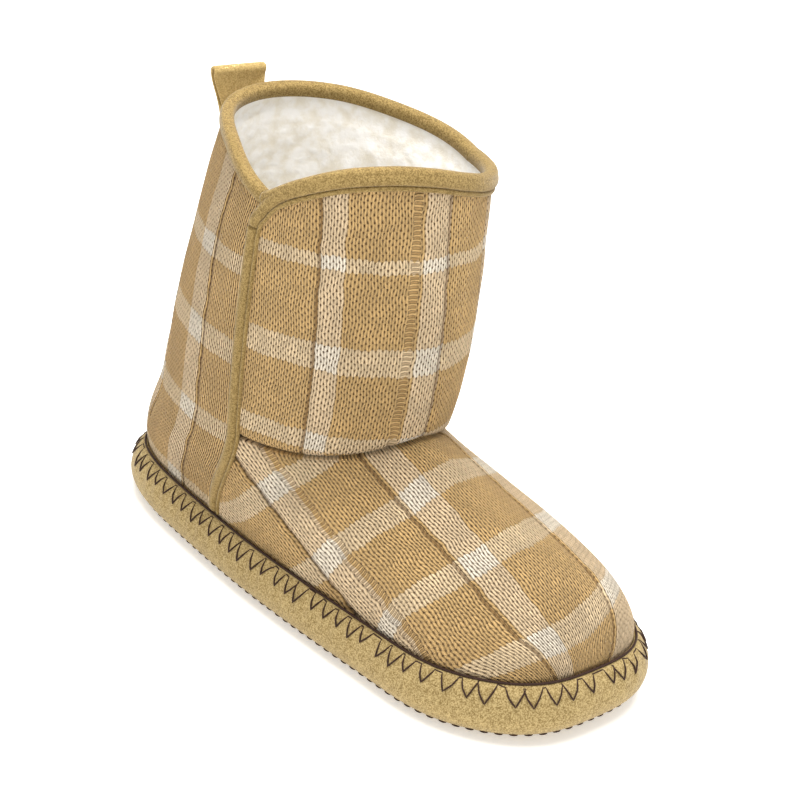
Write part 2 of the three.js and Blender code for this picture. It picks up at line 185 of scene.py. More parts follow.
SIDE_SHIFT = 0.0
SOLE_SWELL = 6.1
SOLE_WIDEST = 10.0
ROUND = np.linspace(-math.pi, math.pi, 721)
own_sides = outline_point(ROUND, SOLE_SWELL, SOLE_WIDEST)[:, 1]
solid_sides = [corner[1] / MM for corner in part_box("sole")]
SIDE_SHIFT = float(np.mean(solid_sides) - (own_sides.min() + own_sides.max()) / 2)
print("the frame's middle lies", round(SIDE_SHIFT, 3), "mm from the last's own line")

# %% The last's outer face
FRONT_RIM = smooth_column(
    [-116, -103, -90, -70, -45, -15, 20, 55, 80, 96, 112],
    [163, NOTCH_OUTER, 178.4, 185.5, 188.3, 187.1, 182.8, 178, 176.1, NOTCH_INNER, 177],
)
BACK_RIM = smooth_column(
    [84, 96, 112, 132, 155, 180, 205, 230, 257, 270],
    [173.6, NOTCH_INNER, 179.2, 182.8, 187.3, 188.8, 186.6, 181.4, NOTCH_OUTER, 165],
)
FULLNESS = smooth_column(
    [0, 35, 75, 105, 145, 192, 226, 252, 275, 360],
    [1, 1.025, 1.045, 1.035, 1, 1, 0.915, 0.98, 1, 1],
)


def oval_turn(turn):
    return turn - TURN_LAG * np.sin(turn)


def oval_point(turn, oval, height, full=1.0):
    around = oval_turn(turn)
    reach = np.where(np.cos(around) > 0, oval["front"], oval["back"]) * full
    across = oval["side"] * full * np.sin(around) + SIDE_SHIFT
    return points(oval["centre"] + reach * np.cos(around), across, height)


def ankle_point(turn):
    share = np.minimum(1, turn_size(turn) / strip_turn(turn))
    height = lerp(ANKLE_AT_STRIP, ANKLE_AT_FRONT, 0.5 + 0.5 * np.cos(np.pi * share))
    return oval_point(turn, ANKLE_OVAL, height)


def collar_point(turn):
    degrees = np.degrees(turn_size(turn))
    inner = np.sin(turn) >= 0
    whole_turn = np.where(inner, degrees, 360 - degrees)
    front = FRONT_RIM(np.where(inner, degrees, -degrees))
    height = np.where(turn_size(turn) < strip_turn(turn), front, BACK_RIM(whole_turn))
    return oval_point(turn, COLLAR_OVAL, height, FULLNESS(whole_turn))


def bezier(a, b, c, d, share):
    s = share[..., None]
    return a * (1 - s) ** 3 + 3 * b * s * (1 - s) ** 2 + 3 * c * s * s * (1 - s) + d * s**3


def face_point(turn, climb):
    """The upper's outer face."""
    turn, climb = np.broadcast_arrays(np.asarray(turn, float), np.asarray(climb, float))
    size = turn_size(turn)
    around = oval_turn(turn)
    outward = points(np.cos(around), np.sin(around), 0)
    seam = outline_point(turn, -MARGIN_INSET, SEAM_HEIGHT)
    ankle = ankle_point(turn)
    collar = collar_point(turn)
    margin = outline_point(turn, -MARGIN_INSET, lerp(BED_HEIGHT, SEAM_HEIGHT, np.clip(climb, 0, 1)))
    leave = seam + seam_normal(turn) * PROFILE_OUT(size)[..., None] + UP * PROFILE_RISE(size)[..., None]
    reach = PROFILE_REACH(size)
    dip = PROFILE_DIP(size)
    arrive = ankle + outward * (reach * np.cos(dip))[..., None] - UP * (reach * np.sin(dip))[..., None]
    foot = bezier(seam, leave, arrive, ankle, np.clip(climb - 1, 0, 1))
    frontness = 1 - smoothstep(size / strip_turn(turn), 0.55, 1)
    low = lerp(ankle, collar, 1 / 3) + outward * (SHAFT_SWELL + FRONT_SWELL * frontness)[..., None]
    high = lerp(ankle, collar, 2 / 3) + outward * SHAFT_SWELL
    shaft = bezier(ankle, low, high, collar, np.clip(climb - 2, 0, 1))
    level = climb[..., None]
    return np.where(level <= 1, margin, np.where(level <= 2, foot, shaft))


def face_slopes(turn, climb, low=0.0, high=3.0):
    """The way round and the way up on the face, read inside the rows from low to high."""
    climb = np.asarray(climb, float)
    around = face_point(turn + SMALL_STEP, climb) - face_point(turn - SMALL_STEP, climb)
    above = face_point(turn, np.minimum(high, climb + SMALL_STEP))
    below = face_point(turn, np.maximum(low, climb - SMALL_STEP))
    return around / (2 * SMALL_STEP), unit(above - below)


def off_face(turn, climb, out, rise=0.0, low=0.0, high=3.0):
    around, upward = face_slopes(turn, climb, low, high)
    outward = unit(np.cross(around, upward))
    out, rise = np.broadcast_arrays(np.asarray(out, float), np.asarray(rise, float))
    return face_point(turn, climb) + outward * out[..., None] + upward * rise[..., None]


def climb_at_drop(turn, drop):
    return 3 - drop / np.linalg.norm(ankle_point(turn) - collar_point(turn), axis=-1)


def even_turns(start, end, climb, shares):
    """Turns at even lengths along the face at one climb."""
    fine = np.linspace(start, end, 800)
    lengths = run_lengths(face_point(fine, climb), 0)
    return np.interp(shares * lengths[-1], lengths, fine)


print("collar girth", round(float(run_lengths(face_point(ROUND, 3.0), 0)[-1]), 1), "mm")

# %% [markdown]
# Every cloth piece starts as a flat grid, as cloth does. A lay tells where each crossing of the grid goes on
# the last and how far it lies along and across the cloth. These measures go into a UV map in mm, so that
# stitches keep their true size on a curved foot. A mesh sculpted by hand would have no such measures.

# %% The sheet maker


def lay_sheet(name, columns, rows, lay, weld=False, caps=False):
    """A grid laid by lay(u, v) -> places and cloth measures (mm); weld joins its two sides into a tube."""
    mesh = bpy.data.meshes.new(name)
    flat = bmesh.new()
    bmesh.ops.create_grid(flat, x_segments=columns, y_segments=rows, size=0.5)
    flat.to_mesh(mesh)
    flat.free()
    start = np.empty(len(mesh.vertices) * 3)
    mesh.vertices.foreach_get("co", start)
    start = start.reshape(rows + 1, columns + 1, 3) + 0.5
    places, cloth = lay(start[..., 0], start[..., 1])
    mesh.vertices.foreach_set("co", (places * MM).ravel())
    corners = np.empty(len(mesh.loops), int)
    mesh.loops.foreach_get("vertex_index", corners)
    measures = mesh.uv_layers.new(name="cloth")
    measures.uv.foreach_set("vector", cloth.reshape(-1, 2)[corners].ravel())
    if weld or caps:
        shaped = bmesh.new()
        shaped.from_mesh(mesh)
        bmesh.ops.remove_doubles(shaped, verts=shaped.verts, dist=1e-6)
        if caps:
            open_edges = [edge for edge in shaped.edges if edge.is_boundary]
            bmesh.ops.holes_fill(shaped, edges=open_edges, sides=0)
        bmesh.ops.recalc_face_normals(shaped, faces=shaped.faces)
        shaped.to_mesh(mesh)
        shaped.free()
    mesh.shade_smooth()
    return mesh


def add_object(name, data):
    thing = bpy.data.objects.new(name, data)
    bpy.context.scene.collection.objects.link(thing)
    return thing


def place_piece(name, mesh, material, slot, *solids):
    piece = add_object(name, mesh)
    mesh.materials.clear()
    mesh.materials.append(material)
    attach(piece, "root")
    if solids:
        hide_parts(*solids)
    print(name, len(mesh.polygons), "faces")
    return piece


def cloth_piece(name, columns, rows, lay, material, slot, *solids, **finish):
    """A laid sheet, placed as one piece."""
    return place_piece(name, lay_sheet(name, columns, rows, lay, **finish), material, slot, *solids)


def soft_noise(places, size, seed):
    """Smooth bumps of about one size (mm), from -1 to 1, the same at every run."""
    shift = Vector((seed * 17.3, seed * 5.1, seed * 9.7))
    flat = places.reshape(-1, 3) / size
    values = [noise.noise(Vector(place) + shift) for place in flat]
    return np.array(values).reshape(places.shape[:-1])


print("sheet maker ready")

# %% [markdown]
# Materials are node trees. A small helper adds a node, sets its values and links its inputs, so that each
# recipe below reads from top to bottom like a list of what the yarn does.

# %% The node helper


def add_node(tree, kind, settings=None, **inputs):
    node = tree.nodes.new(kind)
    for key, value in (settings or {}).items():
        setattr(node, key, value)
    for key, value in inputs.items():
        socket = node.inputs[int(key[1:])] if key[0] == "i" and key[1:].isdigit() else node.inputs[key]
        if isinstance(value, bpy.types.NodeSocket):
            tree.links.new(value, socket)
        else:
            socket.default_value = value
    return node


def maths(tree, operation, a, b=0.0, c=0.0, clamp=False):
    settings = {"operation": operation, "use_clamp": clamp}
    return add_node(tree, "ShaderNodeMath", settings, i0=a, i1=b, i2=c).outputs[0]


def between(tree, value, low, high, out_low=0.0, out_high=1.0, smooth=True):
    settings = {"interpolation_type": "SMOOTHSTEP" if smooth else "LINEAR"}
    ends = {"i1": low, "i2": high, "i3": out_low, "i4": out_high}
    return add_node(tree, "ShaderNodeMapRange", settings, i0=value, **ends).outputs[0]


def blend_colour(tree, share, a, b, kind="MIX"):
    settings = {"data_type": "RGBA", "blend_type": kind}
    return add_node(tree, "ShaderNodeMix", settings, i0=share, i6=a, i7=b).outputs[2]


def clouds(tree, spot, scale, detail=2.0, roughness=0.5):
    return add_node(tree, "ShaderNodeTexNoise", Vector=spot, Scale=scale, Detail=detail, Roughness=roughness)


def object_spot(tree):
    return add_node(tree, "ShaderNodeTexCoord").outputs["Object"]


def dress_shader(tree, shader, colour, height, strength, depth, sheen=0.0, sheen_roughness=0.5):
    """Gives a shader its colour, its relief (a depth in mm) and its sheen."""
    tree.links.new(colour, shader.inputs["Base Color"])
    bump = add_node(tree, "ShaderNodeBump", Strength=strength, Distance=depth * MM, Height=height)
    tree.links.new(bump.outputs[0], shader.inputs["Normal"])
    shader.inputs["Sheen Weight"].default_value = sheen
    shader.inputs["Sheen Roughness"].default_value = sheen_roughness


def new_group(name, ins, outs):
    tree = bpy.data.node_groups.new(name, "ShaderNodeTree")
    for title, kind in ins:
        tree.interface.new_socket(name=title, in_out="INPUT", socket_type=kind)
    for title, kind in outs:
        tree.interface.new_socket(name=title, in_out="OUTPUT", socket_type=kind)
    return tree, tree.nodes.new("NodeGroupInput").outputs, tree.nodes.new("NodeGroupOutput").inputs


def tint(red, green, blue):
    """A colour picked on a screen, as the light that Blender counts with."""
    parts = [v / 255 for v in (red, green, blue)]
    return tuple(p / 12.92 if p <= 0.04045 else ((p + 0.055) / 1.055) ** 2.4 for p in parts) + (1.0,)


def new_material(name, roughness):
    material = bpy.data.materials.new(name)
    material.use_nodes = True
    shader = material.node_tree.nodes["Principled BSDF"]
    shader.inputs["Roughness"].default_value = roughness
    shader.inputs["Specular IOR Level"].default_value = 0.2
    return material, material.node_tree, shader


FLOAT = "NodeSocketFloat"
COLOR = "NodeSocketColor"
VECTOR = "NodeSocketVector"
print("node helper ready")

# %% [markdown]
# Stocking stitch shows columns of small V shapes, each of two slanting yarn legs. Real yarn loops would take
# millions of faces, so the knit is a group that works out, from the cloth's measures, the height of the yarn,
# a mask of painted shade for the gaps between legs and between columns, and which stitch a point belongs to.
# A pattern coloured by whole stitches then gets the stepped edges that real knitting has.

# %% The stocking stitch
WALE = 2.45
COURSE = 2.75
LEG_RISE = 1.0

tree, given, put = new_group(
    "stocking_stitch",
    [("Cloth", VECTOR), ("Wale", FLOAT), ("Course", FLOAT), ("Ribbing", FLOAT)],
    [("Height", FLOAT), ("Gap Shade", FLOAT), ("Stitch", VECTOR)],
)
measure = add_node(tree, "ShaderNodeSeparateXYZ", i0=given["Cloth"])
wale = maths(tree, "DIVIDE", measure.outputs[0], given["Wale"])
course = maths(tree, "DIVIDE", measure.outputs[1], given["Course"])
from_middle = maths(tree, "ABSOLUTE", maths(tree, "SUBTRACT", maths(tree, "FRACT", wale), 0.5))
lifted = maths(tree, "MULTIPLY_ADD", from_middle, -LEG_RISE, course)
leg = maths(tree, "SINE", maths(tree, "MULTIPLY", from_middle, 2 * math.pi))
row = maths(tree, "SINE", maths(tree, "MULTIPLY", maths(tree, "FRACT", lifted), math.pi))
hole = maths(tree, "MULTIPLY", maths(tree, "SUBTRACT", 1.0, leg), maths(tree, "SUBTRACT", 1.0, row))
open_share = between(tree, hole, 0.06, 0.65)
rib_line = maths(tree, "MULTIPLY", between(tree, leg, 0.75, 0.0), given["Ribbing"])
strand = maths(tree, "MULTIPLY", maths(tree, "MAXIMUM", leg, 0.0), maths(tree, "MAXIMUM", row, 0.0))
height = maths(tree, "MULTIPLY_ADD", strand, 0.45, maths(tree, "MULTIPLY_ADD", open_share, -0.75, 0.75))
tree.links.new(maths(tree, "MULTIPLY_ADD", rib_line, -0.5, height), put["Height"])
# The gap mask is painted shade: it darkens the holes between legs and the rib lines between columns.
tree.links.new(maths(tree, "MAXIMUM", between(tree, hole, 0.16, 0.65), rib_line), put["Gap Shade"])
stitch = add_node(
    tree,
    "ShaderNodeCombineXYZ",
    i0=maths(tree, "MULTIPLY", maths(tree, "ADD", maths(tree, "FLOOR", wale), 0.5), given["Wale"]),
    i1=maths(tree, "MULTIPLY", maths(tree, "ADD", maths(tree, "FLOOR", lifted), 0.5), given["Course"]),
)
tree.links.new(stitch.outputs[0], put["Stitch"])
STOCKING_STITCH = tree
print("stocking stitch", len(tree.nodes), "nodes")

# %% [markdown]
# A chart names the stripes and bands of a panel in mm. It is read by a colour ramp with hard steps, once
# along and once across, because an image would blur between stitches.

# %% The charts of the check
CHART_REACH = 160.0
RUNG_PITCH = 1.9
TAN_YARN = tint(207, 171, 115)
STRIPE_YARN = tint(228, 201, 162)
BAND_YARN = tint(228, 202, 162)
CROSS_YARN = tint(242, 229, 207)
# The colour of the painted shade in the knit's holes, furrows and ladders.
GAP_SHADE = tint(88, 58, 26)


def chart(tree, measure, stripes):
    """A hard-edged mask, 1 inside each (low, high) stripe of a measure in mm."""
    share = between(tree, measure, -CHART_REACH, CHART_REACH, smooth=False)
    ramp = add_node(tree, "ShaderNodeValToRGB", i0=share)
    ramp.color_ramp.interpolation = "CONSTANT"
    stops = [(0.0, 0.0)]
    for low, high in sorted(stripes):
        stops.append(((low + CHART_REACH) / (2 * CHART_REACH), 1.0))
        stops.append(((high + CHART_REACH) / (2 * CHART_REACH), 0.0))
    elements = ramp.color_ramp.elements
    elements[0].color = (0, 0, 0, 1)
    elements.remove(elements[1])
    for place, value in stops[1:]:
        elements.new(place).color = (value, value, value, 1)
    return ramp.outputs[0]


def crease(tree, measure, lines, width):
    """1 on each line of a measure (mm), falling to 0 at a width beside it."""
    total = 0.0
    for line in lines:
        away = maths(tree, "ABSOLUTE", maths(tree, "SUBTRACT", measure, line))
        total = maths(tree, "MAXIMUM", total, between(tree, away, width, 0.0))
    return total


print("yarns", TAN_YARN[:3], STRIPE_YARN[:3], BAND_YARN[:3], CROSS_YARN[:3])

# %% [markdown]
# The recipe takes the stitches from the group and colours each whole stitch by its charts, a little lighter
# or darker, with painted shade in its hole. Furrows are folds, painted darker along their lines as shade, and
# a ladder is a column of loose yarn with rungs and painted shade between them. The cloth wanders a little,
# because no knitting lies quite straight.

# %% The recipe of the knit
WANDER = (2.2, 2.6, 0.0)
FURROW_LINE = 1.1
LADDER_LINE = 2.6
KNIT_RELIEF = 1.3


def knit_material(name, stripes, bands, grooves, ladders, ribbing, openness_and_gap_shade):
    material, tree, shader = new_material(name, 0.95)
    cloth = add_node(tree, "ShaderNodeUVMap", {"uv_map": "cloth"}).outputs[0]
    wander = clouds(tree, cloth, 0.11, 1.0)
    vectors = "ShaderNodeVectorMath"
    wander = wander.outputs["Color"]
    centred = add_node(tree, vectors, {"operation": "SUBTRACT"}, i0=wander, i1=(0.5, 0.5, 0.5))
    bent = add_node(tree, vectors, {"operation": "MULTIPLY_ADD"}, i0=centred.outputs[0], i1=WANDER, i2=cloth)
    gauge = {"Wale": WALE, "Course": COURSE, "Ribbing": ribbing}
    knit = add_node(tree, "ShaderNodeGroup", {"node_tree": STOCKING_STITCH}, Cloth=bent.outputs[0], **gauge)
    stitch = add_node(tree, "ShaderNodeSeparateXYZ", i0=knit.outputs["Stitch"])
    stripe = chart(tree, stitch.outputs[0], stripes)
    band = chart(tree, stitch.outputs[1], bands)
    plain = blend_colour(tree, band, TAN_YARN, BAND_YARN)
    pale = blend_colour(tree, band, STRIPE_YARN, CROSS_YARN)
    check = blend_colour(tree, stripe, plain, pale)
    dye = add_node(tree, "ShaderNodeTexWhiteNoise", {"noise_dimensions": "3D"}, Vector=knit.outputs["Stitch"])
    dye = dye.outputs["Value"]
    lot = clouds(tree, cloth, 0.045)
    shade = maths(tree, "MULTIPLY_ADD", dye, 0.2, 0.8)
    shade = maths(tree, "MULTIPLY", shade, between(tree, lot.outputs[0], 0.3, 0.7, 0.93, 1.07))
    grey = add_node(tree, "ShaderNodeCombineColor", i0=shade, i1=shade, i2=shade).outputs[0]
    heather = blend_colour(tree, 1.0, check, grey, "MULTIPLY")
    straight = add_node(tree, "ShaderNodeSeparateXYZ", i0=bent.outputs[0])
    furrow = crease(tree, straight.outputs[0], grooves, FURROW_LINE)
    ladder = crease(tree, straight.outputs[0], ladders, LADDER_LINE)
    ladder = between(tree, ladder, 0.2, 0.45)
    rung = maths(tree, "SINE", maths(tree, "MULTIPLY", straight.outputs[1], 2 * math.pi / RUNG_PITCH))
    rung = between(tree, rung, -0.6, 0.8)
    # Painted shade: holes between legs, spaces between rungs and furrow lines are darkened towards the shade
    # colour, more on a more open panel.
    gap_shade = maths(tree, "MULTIPLY", knit.outputs["Gap Shade"], maths(tree, "SUBTRACT", 1.0, ladder))
    shade_between_rungs = maths(tree, "MULTIPLY", ladder, maths(tree, "SUBTRACT", 1.0, rung))
    uneven = maths(tree, "MULTIPLY_ADD", dye, 0.6, 0.55)
    gap_shade = maths(tree, "MULTIPLY", gap_shade, maths(tree, "MULTIPLY", uneven, openness_and_gap_shade), clamp=True)
    gap_shade = maths(tree, "MULTIPLY_ADD", shade_between_rungs, 0.45, gap_shade)
    gap_shade = maths(tree, "MAXIMUM", gap_shade, maths(tree, "MULTIPLY", furrow, 0.75), clamp=True)
    colour = blend_colour(tree, gap_shade, heather, GAP_SHADE)
    fuzz = clouds(tree, cloth, 2.4)
    yarn = maths(tree, "MULTIPLY", knit.outputs["Height"], maths(tree, "SUBTRACT", 1.0, ladder))
    yarn = maths(tree, "ADD", yarn, maths(tree, "MULTIPLY", rung, ladder))
    relief = maths(tree, "MULTIPLY_ADD", fuzz.outputs[0], 0.25, maths(tree, "MULTIPLY", yarn, KNIT_RELIEF))
    relief = maths(tree, "MULTIPLY_ADD", furrow, -0.9, relief)
    dress_shader(tree, shader, colour, relief, 1.0, 1.0, sheen=0.04)
    return material


print("knit recipe for stitches of", WALE, "by", COURSE, "mm")

# %% [markdown]
# The three panels have a chart each. Stripes count from the ridge on the vamp, from the front line on the
# shaft and from the outer strip behind. Bands count along the ridge on the vamp and up from the floor above.

# %% The charts, listed


def spans(centres, width):
    return [(centre - width / 2, centre + width / 2) for centre in centres]


VAMP_STRIPES = [(-65.0, -55.5), (-25.6, -13.0), (23.2, 46.0), (60.0, 71.0)]
VAMP_GROOVES = [-65.8, -26.3, 22.5, 72.0]
VAMP_LADDERS = [-53.3, 57.5]
VAMP_BANDS = spans([-30.0, 10.0, 48.5, 87.5, 128.0], 10.5)
SHAFT_STRIPES = [(-49.0, -40.0), (-10.5, 1.0), (30.0, 39.0), (69.5, 81.0)]
SHAFT_GROOVES = [-49.6, 1.7, 29.4, 81.6]
SHAFT_LADDERS = [-13.2, 66.8]
SHAFT_BANDS = [(70.5, 78.5), (106.5, 118.5), (147.0, 155.0), (183.0, 191.0)]
BACK_STRIPES = spans([35.2, 77.0, 117.0, 157.0, 197.0], 13.6)
BACK_GROOVES = [27.8, 69.6, 109.6, 149.6, 189.6]
BACK_BANDS = [(20.5, 27.5), (59.5, 68.5), (94.0, 107.5), (134.5, 143.0), (173.0, 181.0)]

VAMP_KNIT = knit_material("vamp_knit", VAMP_STRIPES, VAMP_BANDS, VAMP_GROOVES, VAMP_LADDERS, 0.45, 1.05)
SHAFT_KNIT = knit_material("shaft_knit", SHAFT_STRIPES, SHAFT_BANDS, SHAFT_GROOVES, SHAFT_LADDERS, 0.15, 1.3)
BACK_KNIT = knit_material("back_knit", BACK_STRIPES, BACK_BANDS, BACK_GROOVES, [], 0.4, 2.3)
print("knits", VAMP_KNIT.name, SHAFT_KNIT.name, BACK_KNIT.name)

# %% [markdown]
# Where two yarns meet, the knit sinks into a furrow that can be seen from across the room. Those furrows are
# real troughs in the sheets, because a bump alone would leave the outline smooth.
# The shaft's front is the simplest panel: its stripes keep their distance from the middle of the front, and
# its bands lie level. Its lower edge rolls in at the ankle seam, where it puffs over the foot.

# %% Knit on the front of the shaft
FURROW_DEPTH = 0.7
FURROW_WIDTH = 1.7
SLACK = 0.35
UNDER_RIM = 2.985


def furrows(measure, lines):
    depth = np.zeros_like(measure)
    for line in lines:
        depth = np.maximum(depth, np.exp(-(((measure - line) / FURROW_WIDTH) ** 2) * 2))
    return -FURROW_DEPTH * depth


def shaft_lay(u, v):
    turn = even_turns(-STRIP_OUTER, STRIP_INNER, 2.5, u)
    climb = lerp(2.0, UNDER_RIM, v)
    face = face_point(turn, climb)
    middle = np.argmin(np.abs(turn[0]))
    girth = run_lengths(face, 1)
    across = girth - girth[:, middle : middle + 1]
    rise = run_lengths(face, 0)
    roll = np.clip(1 - rise / 5.0, 0, 1) ** 2
    out = furrows(across, SHAFT_GROOVES + SHAFT_LADDERS) - 2.2 * roll
    out = out + SLACK * soft_noise(face, 16, 1)
    places = off_face(turn, climb, out, low=2.0)
    return places, np.stack([across, face[..., 2]], -1)


cloth_piece("knit_shaft_front", 220, 130, shaft_lay, SHAFT_KNIT, "knit", "upper")

# %% [markdown]
# The vamp covers toe and instep. Its stripes run along the foot, so its cloth measures come from slices
# across the foot: a slice fans round a line below the instep, the distance along the ridge counts one way,
# and the way down from the ridge counts the other way.

# %% Knit on the vamp
FAN_ALONG = 60.0
FAN_DEPTH = -60.0
COURSE_BOW = 0.0063
COURSE_SLANT = 0.45
TOE_GATHER = 0.86

ridge_front = face_point(np.zeros(400), np.linspace(2.0, 1.0, 400))
ridge_back = ridge_front[0] + np.outer(np.linspace(200, 1, 120), unit(ridge_front[0] - ridge_front[12]))
ridge = np.concatenate([ridge_back, ridge_front])
ridge_run = run_lengths(ridge, 0)
ridge_run = ridge_run - ridge_run[len(ridge_back)] + ridge_front[0][0]


def fan(places):
    """The angle of the slice through a place, and the reach of the place from the fan's line."""
    ahead = places[..., 0] - FAN_ALONG
    above = places[..., 2] - FAN_DEPTH
    return np.arctan2(ahead, above), np.hypot(ahead, above)


fanned = ridge[:, 0] >= FAN_ALONG
FAN_ANGLE, FAN_REACH = fan(ridge[fanned])


def vamp_cloth(places):
    angle, reach = fan(places)
    ahead = places[..., 0] > FAN_ALONG
    fall = np.where(
        ahead,
        np.interp(angle, FAN_ANGLE, FAN_REACH) - reach,
        np.interp(places[..., 0], ridge[:, 0], ridge[:, 2]) - places[..., 2],
    )
    run = np.where(
        ahead,
        np.interp(angle, FAN_ANGLE, ridge_run[fanned]),
        np.interp(places[..., 0], ridge[:, 0], ridge_run),
    )
    side = places[..., 1]
    across = np.sign(side) * np.hypot(side, np.maximum(0, fall) * np.clip(np.abs(side) / 6, 0, 1))
    across = across * (1 + TOE_GATHER * np.clip((run - 105) / 40, 0, 1.1) ** 2.7)
    along = run + COURSE_BOW * (across + 15) ** 2 + COURSE_SLANT * np.maximum(0, np.abs(across) - 47)
    return across, along


def vamp_lay(u, v):
    turn = even_turns(-STRIP_OUTER, STRIP_INNER, 1.45, u)
    climb = np.interp(v, (0, 0.03, 0.95, 1), (0.6, 1.0, 2.0, 2.0))
    face = face_point(turn, climb)
    across, along = vamp_cloth(face)
    rise = run_lengths(face, 0)
    roll = np.clip(1 - (rise[-1:] - rise) / 3.5, 0, 1) ** 2
    creases = furrows(across, VAMP_GROOVES + VAMP_LADDERS) + furrows(across, VAMP_GROOVES[:1])
    out = creases * (climb > 1.0) - 0.6 * roll
    out = out + SLACK * soft_noise(face, 18, 2) * (climb > 1.0)
    places = off_face(turn, climb, out, high=2.0)
    around = oval_turn(turn)
    inward = -points(np.cos(around), np.sin(around), 0)
    tuck_in = np.interp(v, (0.95, 0.97, 1), (0, 3.4, 3.4))
    tuck_up = np.interp(v, (0.95, 0.97, 1), (0, 0.2, 6.0))
    places = places + inward * tuck_in[..., None] + UP * tuck_up[..., None]
    return places, np.stack([across, along], -1)


cloth_piece("knit_vamp", 300, 110, vamp_lay, VAMP_KNIT, "knit", "upper")

# %% [markdown]
# The back quarter goes round the heel from one side strip to the other. Its bands lie level, and its stripes
# keep their distance from the outer strip, but lean towards it near the rim, where the cloth is drawn in.

# %% Knit round the heel
STRIPE_LEAN = 7.0
LEAN_HEIGHTS = (140, 182)


def back_lay(u, v):
    turn = even_turns(STRIP_INNER, 2 * math.pi - STRIP_OUTER, 2.0, u)
    climb = np.where(v < 0.02, lerp(0.6, 1.0, v / 0.02), lerp(1.0, UNDER_RIM, (v - 0.02) / 0.98))
    face = face_point(turn, climb)
    girth = run_lengths(face, 1)
    behind = girth[:, -1:] - girth
    across = behind + STRIPE_LEAN * smoothstep(face[..., 2], *LEAN_HEIGHTS)
    out = furrows(across, BACK_GROOVES) * (climb > 1.0)
    out = out + SLACK * soft_noise(face, 18, 3) * (climb > 1.0)
    places = off_face(turn, climb, out)
    return places, np.stack([across, face[..., 2]], -1)


cloth_piece("knit_back_quarter", 240, 170, back_lay, BACK_KNIT, "knit", "upper")

# %% [markdown]
# The lining is sheepskin-like pile: thick cream curls with no weave to see. Hair strands would be heavy in a
# shared part, so the pile is a lumpy sheet inside the wall, with finer curls in its bump.

# %% The pile
FLEECE_CREAM = tint(253, 252, 250)
# The cream pile darkened as painted shade, for the hollows between its tufts.
FLEECE_HOLLOW_SHADE = tint(237, 231, 218)


def pile_material(name):
    material, tree, shader = new_material(name, 1.0)
    spot = object_spot(tree)
    curls = clouds(tree, spot, 330.0, 3.0, 0.6)
    tufts = add_node(tree, "ShaderNodeTexVoronoi", {"feature": "SMOOTH_F1"}, Vector=spot, Scale=210.0)
    lumps = clouds(tree, spot, 60.0)
    depth = maths(tree, "MULTIPLY_ADD", curls.outputs[0], 0.9, lumps.outputs[0])
    depth = maths(tree, "MULTIPLY_ADD", tufts.outputs["Distance"], -0.9, depth)
    # Painted shade: the pile is coloured darker where its bump is low, between the tufts and curls.
    colour = blend_colour(tree, between(tree, depth, 0.15, 0.85), FLEECE_HOLLOW_SHADE, FLEECE_CREAM)
    dress_shader(tree, shader, colour, depth, 0.6, 1.1, sheen=0.3, sheen_roughness=0.6)
    return material


PILE = pile_material("cream_pile")


def lining_lay(u, v):
    turn = even_turns(math.pi, -math.pi, 2.6, u)
    climb = lerp(0.5, 2.98, v)
    face = face_point(turn, climb)
    lumps = 0.8 * soft_noise(face, 11, 4) + 0.35 * soft_noise(face, 4.5, 5)
    depth = 1.1 + lumps
    squeeze = 1.7 * smoothstep(v, 0.93, 0.98)
    places = off_face(turn, climb, squeeze - WALL - 0.2 - np.clip(depth, -0.6, 3.0) * (v < 0.97))
    return places, np.stack([u * 280, v * 190], -1)


cloth_piece("fleece_lining", 260, 150, lining_lay, PILE, "fleece", "upper", weld=True)

# %% [markdown]
# Sole and tapes are tan microsuede. Its short nap shows as a fine grain with soft lighter and darker patches
# where a hand has brushed it. One group makes that nap, and each suede gives it its own colours. The loop is
# the same tape painted lighter, as painted light for the way light falls on its standing nap.

# %% The suede
tree, given, put = new_group(
    "suede_nap",
    [("Spot", VECTOR), ("Deep", COLOR), ("Pale", COLOR), ("Brush", FLOAT)],
    [("Color", COLOR), ("Height", FLOAT)],
)
grain = clouds(tree, given["Spot"], 1800.0, 2.0, 0.6)
flecks = clouds(tree, given["Spot"], 700.0)
patches = clouds(tree, given["Spot"], 38.0, 3.0)
coarse = maths(tree, "MULTIPLY", flecks.outputs[0], 0.25)
share = between(tree, maths(tree, "MULTIPLY_ADD", grain.outputs[0], 0.75, coarse), 0.36, 0.64)
brushed = maths(tree, "MULTIPLY", maths(tree, "SUBTRACT", patches.outputs[0], 0.5), given["Brush"])
share = maths(tree, "ADD", share, brushed, clamp=True)
tree.links.new(blend_colour(tree, share, given["Deep"], given["Pale"]), put["Color"])
tree.links.new(maths(tree, "ADD", grain.outputs[0], flecks.outputs[0]), put["Height"])
SUEDE_NAP = tree


def suede_material(name, deep, pale, brush):
    material, tree, shader = new_material(name, 0.93)
    spot = object_spot(tree)
    colours = {"Deep": deep, "Pale": pale, "Brush": brush}
    nap = add_node(tree, "ShaderNodeGroup", {"node_tree": SUEDE_NAP}, Spot=spot, **colours)
    nap_colour, nap_height = nap.outputs
    dress_shader(tree, shader, nap_colour, nap_height, 0.5, 0.35, sheen=0.2, sheen_roughness=0.4)
    return material


SOLE_SUEDE = suede_material("sole_suede", tint(130, 108, 64), tint(192, 169, 118), 0.12)
TAPE_SUEDE = suede_material("tape_suede", tint(116, 94, 52), tint(166, 141, 89), 0.12)
# Painted light: the loop's suede is the tape's suede made lighter, as it looks where its nap faces the light.
LOOP_SUEDE_LIT = suede_material("loop_suede_lit", tint(164, 137, 83), tint(200, 173, 115), 0.15)
print("suedes", SOLE_SUEDE.name, TAPE_SUEDE.name, LOOP_SUEDE_LIT.name)

# %% [markdown]
# The sole is a soft cup: a flat bottom and a side that swells over the floor and draws in under the seam.
# A spun cup would be round, so it is a tube laid round the outline, with its profile read from a short table
# and its two flat ends filled. The hand stitches pull the side in a little at each hole.

